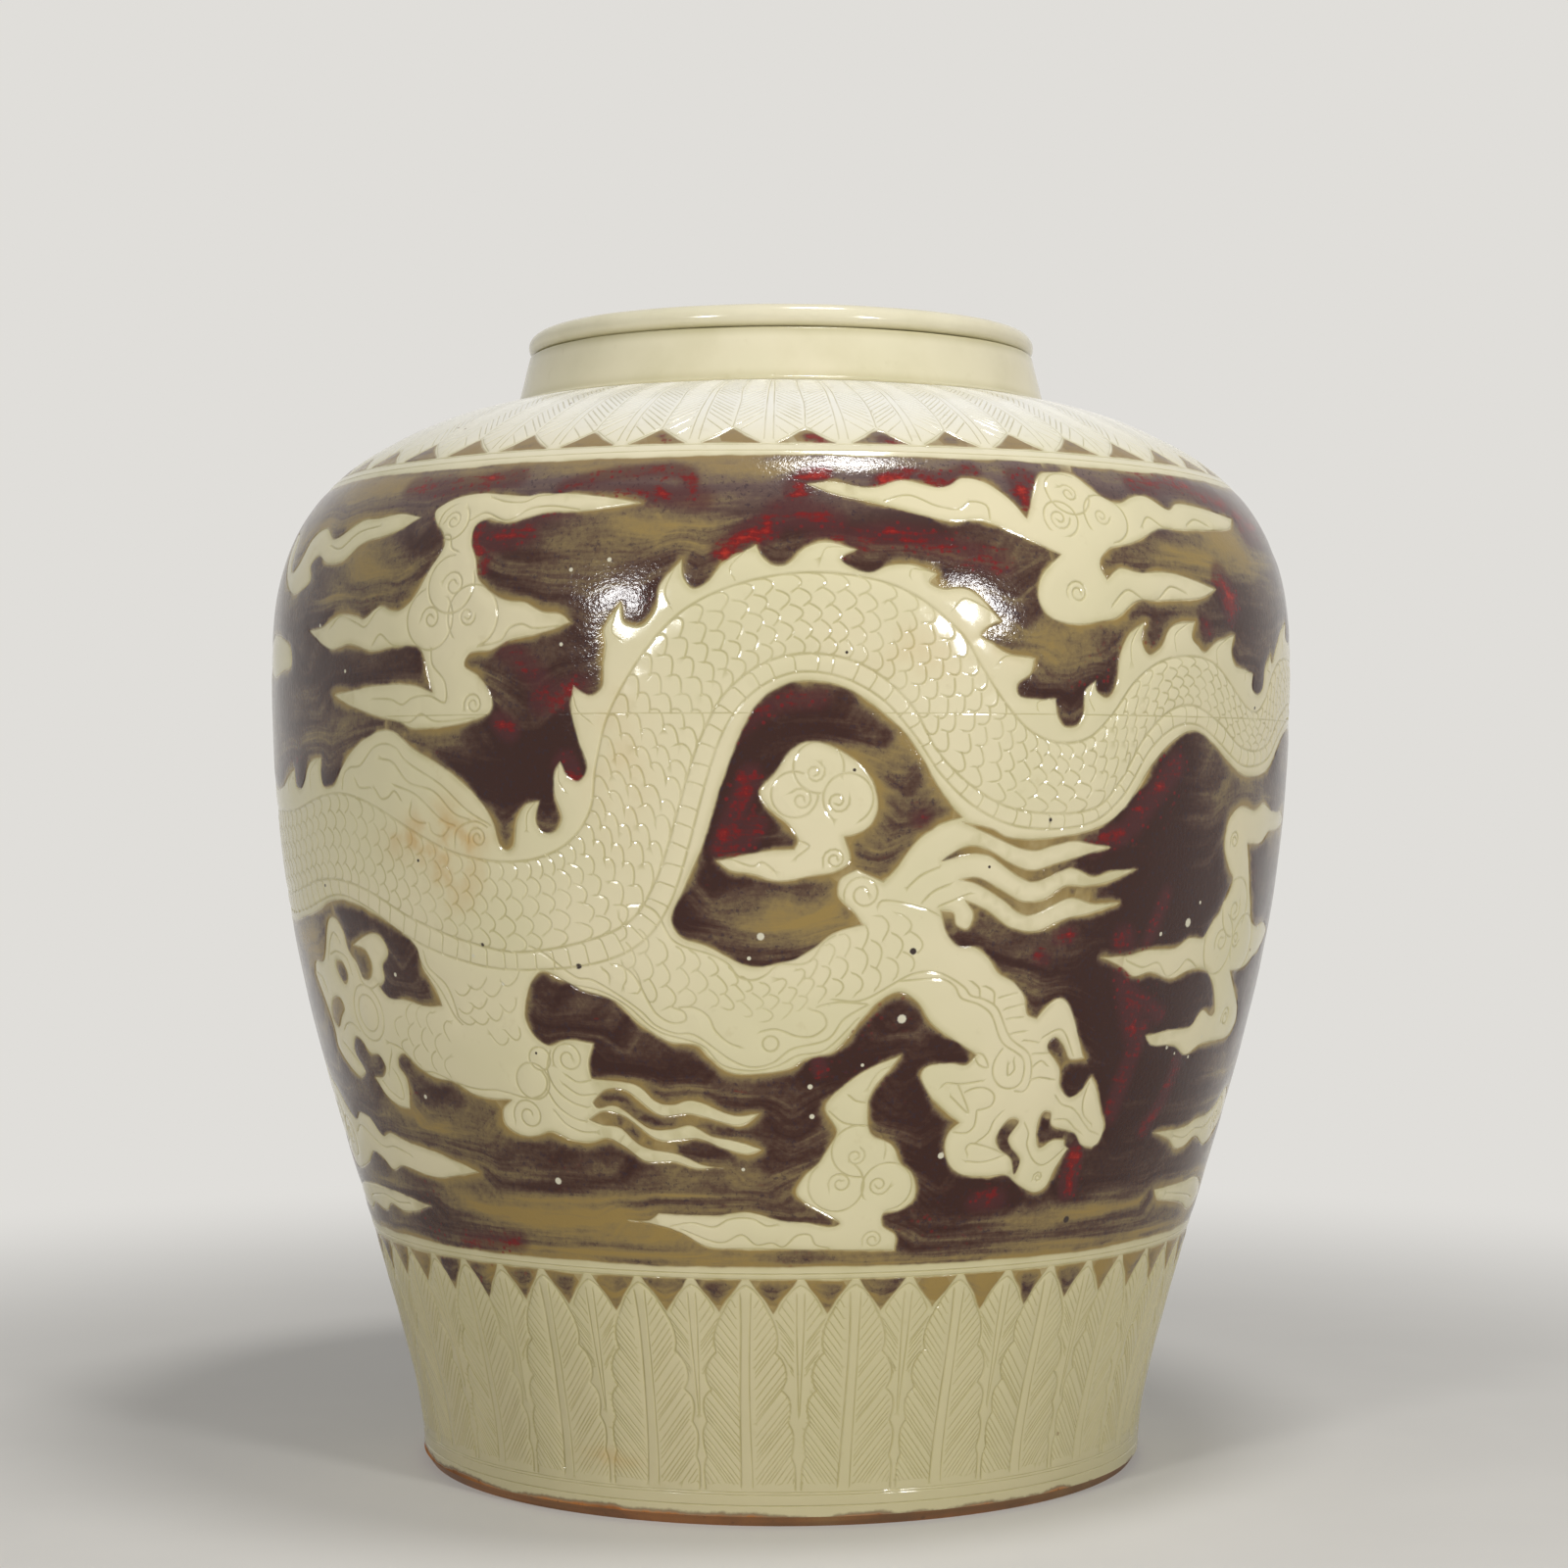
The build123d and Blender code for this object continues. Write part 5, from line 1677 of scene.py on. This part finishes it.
# Brush strokes, broad to fine: scale round the jar, height to follow, scale up the jar
STROKES = [(13.0, given["Flow"], 0.13), (20.0, level, 420.0), (34.0, level, 1300.0)]
strokes = [grain(stretched(parts, up, round_scale, up_scale), 1.0, 3.0, 0.6)
           for round_scale, up, up_scale in STROKES]
patchy = grain(place, 15.0)
amount = MEAN_AMOUNT
for stroke, strength in zip([*strokes, patchy], (1.7, 0.32, 0.14, 1.5)):
    amount = times_plus(centred(stroke), strength, amount)
amount = times_plus(given["Thin"], -0.62, amount)
waver = centred(grain(place, 60.0))
fringe_width = mask(grain(place, 21.0, 2.0), 0.4, 0.66, 1.6, 6.0)
fringe = mask(times_plus(waver, 6.0, edge), -0.8, fringe_width)
amount = times(sums("MAXIMUM", amount, 0.0), fringe)
powder = centred(grain(place, 430.0, 3.0, 0.7))
amount = times_plus(powder, mask(amount, 0.0, 0.3, 0.12, 0.5), amount, clamp=True)
ramp = add("ShaderNodeValToRGB", {0: amount})
while len(ramp.color_ramp.elements) < len(WASH_TONES):
    ramp.color_ramp.elements.new(0.5)
for number, (stop, tone) in enumerate(zip(ramp.color_ramp.elements, WASH_TONES)):
    stop.position = number / 5
    stop.color = colour(*tone)
haze = times(given["Haze"], mask(amount, 0.2, 0.8, 0.2, 0.55))
tint = blend(haze, ramp.outputs[0], WASH_HAZE)
specks = times(mask(grain(place, 520.0, 2.0, 0.7), 0.56, 0.68), mask(amount, 0.12, 0.55, 0.0, 0.6))
tint = blend(specks, tint, WASH_SPECK)
tint = blend(times(mask(flame, 0.0, 0.5, 0.0, 0.7), fringe), tint, RED_HALO)
loose = mask(times_plus(flame, 0.5, patchy), 0.56, 0.72)
tint = blend(times(dots(place, 300.0, 0.12, 0.3, 0.8), loose), tint, RED_DROP)
torn = times_plus(centred(grain(place, 170.0, 4.0, 0.65)), 2.2, flame)
torn = times_plus(centred(strokes[1]), 1.6, torn)
blood = blend(mask(torn, 0.85, 1.5), RED_DEEP, RED_BRIGHT)
tint = blend(mask(torn, 0.5, 0.95, 0.0, 0.9), tint, blood)
put(out["Colour"], tint)
put(out["Cover"], mask(times_plus(waver, 2.4, edge), -0.7, 0.7))
put(out["Height"], times_plus(amount, 0.05, times(grain(place, 640.0, 2.0, 0.6), 0.14)))
print("group:", wash_group.name, len(wash_group.nodes), "nodes")

# %% [markdown]
# ## Bare clay
# The foot stood on the kiln's shelf and was wiped clean, so the clay shows: orange where the flame
# flashed it, brown and gritty elsewhere. The base, the wall's bottom edge and the coils inside share it.

# %% Group: bare clay
CLAY_BROWN = colour(128, 84, 50)
CLAY_TAN = colour(176, 116, 62)
CLAY_ORANGE = colour(196, 118, 52)
CLAY_GRIT = colour(76, 52, 38)
CLAY_HOLE = colour(56, 40, 32)
clay_group, given, out = new_group("bare_clay", {"Flash": 0.5}, ["Height"])
place = given["Place"]
body_tone = grain(place, 24.0, 4.0, 0.6)
grit = grain(place, 480.0, 2.0, 0.7)
tint = blend(mask(body_tone, 0.35, 0.65), CLAY_BROWN, CLAY_TAN)
tint = blend(times(mask(grain(place, 60.0), 0.5, 0.7), given["Flash"]), tint, CLAY_ORANGE)
tint = blend(mask(grit, 0.6, 0.75, 0.0, 0.5), tint, CLAY_GRIT)
tint = blend(dots(place, 130.0, 0.08, 0.16, 0.7), tint, CLAY_HOLE)
put(out["Colour"], tint)
put(out["Height"], times_plus(body_tone, 0.3, times(grit, 0.12)))
print("group:", clay_group.name, len(clay_group.nodes), "nodes")

# %% [markdown]
# ## The wall's glaze
# This material joins the three: cream glaze with tone pooled in the cuts, the brushed wash where the
# mesh says paint, and bare clay along the foot. The mesh holds, at each of its corners, the distance to
# the paint's edge and to the nearest cut, so that the tones follow the carving exactly.

# %% Material: carved and painted glaze
FOOT_FADE = (0.085, 0.125)  # where the foot band's own tones fade out, m
# Painted light: the glaze is whitened towards the shoulder, as if the top were lit from above.
SHOULDER_PAINTED_LIGHT = (0.402, 0.44)  # where the glaze turns white, m
HAZE_FADE = (0.375, 0.42)  # where the wash turns hazy, m
FOOT_CREAM = colour(178, 168, 124)
STAIN = colour(188, 146, 76)
PALE_SPOT = colour(206, 201, 178)
DARK_SPOT = colour(58, 46, 42)
RIM_BROWN = colour(96, 66, 44)
wall_glaze, shader, place = new_material("carved_and_painted_glaze")
tree = wall_glaze.node_tree
parts = parts_of(place)
up = parts[2]
edge = held(tree, "paint_edge")
wavering = grain(place, 70.0)
pool = mask(held(tree, "cut_share"), 0.0, 0.95, 0.0, 0.66)
pool = times(times(pool, mask(wavering, 0.3, 0.65, 0.45, 1.0)), mask(up, *FOOT_FADE, 1.35, 1.0))
blush = times(mask(edge, -3.2, 0.4), mask(wavering, 0.3, 0.7, 0.1, 0.5))
# Pale here is painted light, whitening the glaze on the shoulder.
cream = use_group(cream_group, {
    "Place": place, "Thick": sums("MAXIMUM", pool, blush), "Pale": mask(up, *SHOULDER_PAINTED_LIGHT)})
tint = blend(mask(up, *FOOT_FADE, 0.5, 0.0), cream["Colour"], FOOT_CREAM)
tint = blend(times(held(tree, "stain"), mask(wavering, 0.35, 0.7, 0.1, 0.75)), tint, STAIN)
wash = use_group(wash_group, {
    "Place": place, "Flow": held(tree, "flow"), "Edge": edge, "Thin": held(tree, "thin"),
    "Flame": held(tree, "copper_red"), "Haze": mask(up, *HAZE_FADE)})
tint = blend(wash["Cover"], tint, wash["Colour"])
tint = blend(held(tree, "pale_spot"), tint, PALE_SPOT)
tint = blend(held(tree, "dark_spot"), tint, DARK_SPOT)
clay = use_group(clay_group, {"Place": place, "Flash": 0.8})
ragged = times_plus(grain(place, 32.0, 5.0, 0.62), -0.0095, up)
ragged = times_plus(parts[0], 0.006, ragged)
bare = mask(ragged, -0.0014, 0.0002, 1.0, 0.0)
tint = blend(mask(ragged, -0.0002, 0.0012, 0.7, 0.0), tint, RIM_BROWN)
tint = blend(bare, tint, clay["Colour"])
gloss = sums("MAXIMUM", mask(wavering, 0.3, 0.7, 0.1, 0.16), times(bare, 0.85))
height = times_plus(wash["Cover"], wash["Height"], cream["Height"])
finish_surface(shader, tint, gloss, times_plus(bare, clay["Height"], height), 0.0009)
shader.inputs["Specular IOR Level"].default_value = 0.32
print("material:", wall_glaze.name, len(tree.nodes), "nodes")

# %% [markdown]
# ## Plain glaze, inner wash and bare base
# The collar and the lip have the cream glaze alone, greener where it ran together under the roll and at
# the collar's root, and thin and pale over the crest of the lip. Inside, the jar has only a thin brown
# wash, streaked by the throwing. The base is bare clay.

# %% Material: cream glaze on the collar and the lip
plain_glaze, shader, place = new_material("cream_glaze_on_rim")
up = parts_of(place)[2]
under_roll = times(mask(up, 0.4655, 0.4705), mask(up, 0.4705, 0.4735, 0.55, 0.0))
at_root = mask(up, 0.4488, 0.4535, 0.3, 0.0)
wavering = grain(place, 26.0, 4.0)
thick = times_plus(mask(wavering, 0.45, 0.7), 0.14, sums("MAXIMUM", under_roll, at_root))
cream = use_group(cream_group, {"Place": place, "Thick": thick, "Pale": mask(up, 0.46, 0.478, 0.15, 0.25)})
gloss = mask(wavering, 0.3, 0.7, 0.1, 0.16)
finish_surface(shader, cream["Colour"], gloss, cream["Height"], 0.0007)
shader.inputs["Specular IOR Level"].default_value = 0.36

# %% Material: brown wash inside
INNER_BROWN = colour(104, 78, 54)
INNER_TAN = colour(146, 122, 82)
inner_wash, shader, place = new_material("brown_wash_inside")
parts = parts_of(place)
streaks = grain(stretched(parts, parts[2], 6.0, 150.0), 1.0, 4.0)
clay = use_group(clay_group, {"Place": place, "Flash": 0.3})
tint = blend(mask(streaks, 0.35, 0.7, 0.35, 0.9), clay["Colour"], INNER_BROWN)
tint = blend(mask(grain(place, 12.0), 0.5, 0.75, 0.0, 0.6), tint, INNER_TAN)
gloss = mask(streaks, 0.3, 0.7, 0.45, 0.7)
finish_surface(shader, tint, gloss, times_plus(streaks, 0.4, clay["Height"]), 0.0007)

# %% Material: bare clay of the base
UPPER_SIDE = (0.0195, 0.0203)  # where the base's upper side begins, m
DISC_BROWN = colour(104, 80, 56)
bare_base, shader, place = new_material("bare_clay_base")
clay = use_group(clay_group, {"Place": place, "Flash": 0.6})
tint = blend(mask(parts_of(place)[2], *UPPER_SIDE, 0.0, 0.75), clay["Colour"], DISC_BROWN)
gloss = mask(grain(place, 90.0), 0.3, 0.7, 0.72, 0.9)
finish_surface(shader, tint, gloss, clay["Height"], 0.0008)


def dress(piece, *materials):
    """Gives a piece its materials, in the order of its slots."""
    piece.data.materials.clear()
    for material in materials:
        piece.data.materials.append(material)


for piece in ring_pieces.values():
    dress(piece, wall_glaze, inner_wash)
    is_inside = np.arange(len(piece.data.polygons)) >= piece["skin_faces"]
    piece.data.polygons.foreach_set("material_index", is_inside.astype(np.int32))
    del piece["skin_faces"]
dress(collar, plain_glaze)
dress(lip, plain_glaze)
node_looks = {"base_disc": bare_base, "collar": plain_glaze, "lip": plain_glaze}
node_looks.update(dict.fromkeys(RINGS, wall_glaze))
for name, body in nodes.items():
    for slot in body.material_slots:
        slot.material = node_looks.get(name, inner_wash)
print("materials:", len(bpy.data.materials), "on", len(ring_pieces) + 2, "new pieces and the clay nodes")

# %% [markdown]
# ## Studio
# A plain pale floor that fades into a pale room, and three soft round lamps: one overhead, and two in
# front, left and right, where the glaze mirrors them. The lamps are kept low enough that the cream
# glaze doesn't clip. The pale background comes from what the camera sees, not from more light.

# %% Floor, room and lamps
ROOM = colour(224, 222, 218)
ROOM_LIGHT = colour(104, 104, 104)
FLOOR = colour(218, 215, 209)
FLOOR_DULL = colour(208, 205, 199)
FADE_REACH = (0.3, 0.95)  # where the floor starts and ends its fade into the room, m from the jar


def seen_rays(tree):
    """1 for the rays that see a thing, straight or by a mirror or glass, and 0 for those that light it."""
    paths = tree.nodes.new("ShaderNodeLightPath").outputs
    mirrored = sums("MAXIMUM", paths["Is Glossy Ray"], paths["Is Transmission Ray"])
    return sums("MAXIMUM", paths["Is Camera Ray"], mirrored)


bpy.ops.object.select_all(action="DESELECT")
bpy.ops.mesh.primitive_circle_add(vertices=96, radius=9.0, fill_type="NGON", location=(0, 0, 0))
floor = bpy.context.active_object
floor.name = "studio_floor"
floor_look, shader, place = new_material("pale_floor")
tree = floor_look.node_tree
put(shader.inputs["Base Color"], blend(mask(grain(place, 6.0), 0.3, 0.7, 0.0, 0.5), FLOOR, FLOOR_DULL))
shader.inputs["Roughness"].default_value = 0.75
reach = add("ShaderNodeVectorMath", {0: place}, operation="LENGTH").outputs["Value"]
glow = add("ShaderNodeEmission", {"Color": ROOM, "Strength": 1.0}, tree).outputs[0]
fade = times(mask(reach, *FADE_REACH, 0.18, 1.0), seen_rays(tree))
joined = add("ShaderNodeMixShader", {0: fade, 1: shader.outputs[0], 2: glow}).outputs[0]
put(tree.nodes["Material Output"].inputs["Surface"], joined)
floor.data.materials.append(floor_look)

world = bpy.data.worlds.new("pale_room")
scene.world = world
world.use_nodes = True
background = world.node_tree.nodes["Background"]
put(background.inputs["Color"], blend(seen_rays(world.node_tree), ROOM_LIGHT, ROOM))
background.inputs["Strength"].default_value = 1.0

# Name, place, what it points at, width, depth and power in watts
LAMPS = [
    ("lamp_overhead", (0.22, -0.30, 1.75), (0, 0, 0.3), 0.40, 0.28, 10.5),
    ("lamp_left", (-0.87, -1.42, 0.66), (0, 0, 0.28), 0.26, 0.28, 9.2),
    ("lamp_right", (1.03, -1.33, 0.60), (0, 0, 0.28), 0.26, 0.28, 11.6),
]
for name, spot, aim, width, tall, power in LAMPS:
    data = bpy.data.lights.new(name, "AREA")
    data.shape = "ELLIPSE"
    data.size = width
    data.size_y = tall
    data.energy = power
    lamp = bpy.data.objects.new(name, data)
    lamp.location = spot
    lamp.rotation_euler = (Vector(aim) - Vector(spot)).to_track_quat("-Z", "Y").to_euler()
    scene.collection.objects.link(lamp)
print("lamps:", [lamp[0] for lamp in LAMPS])
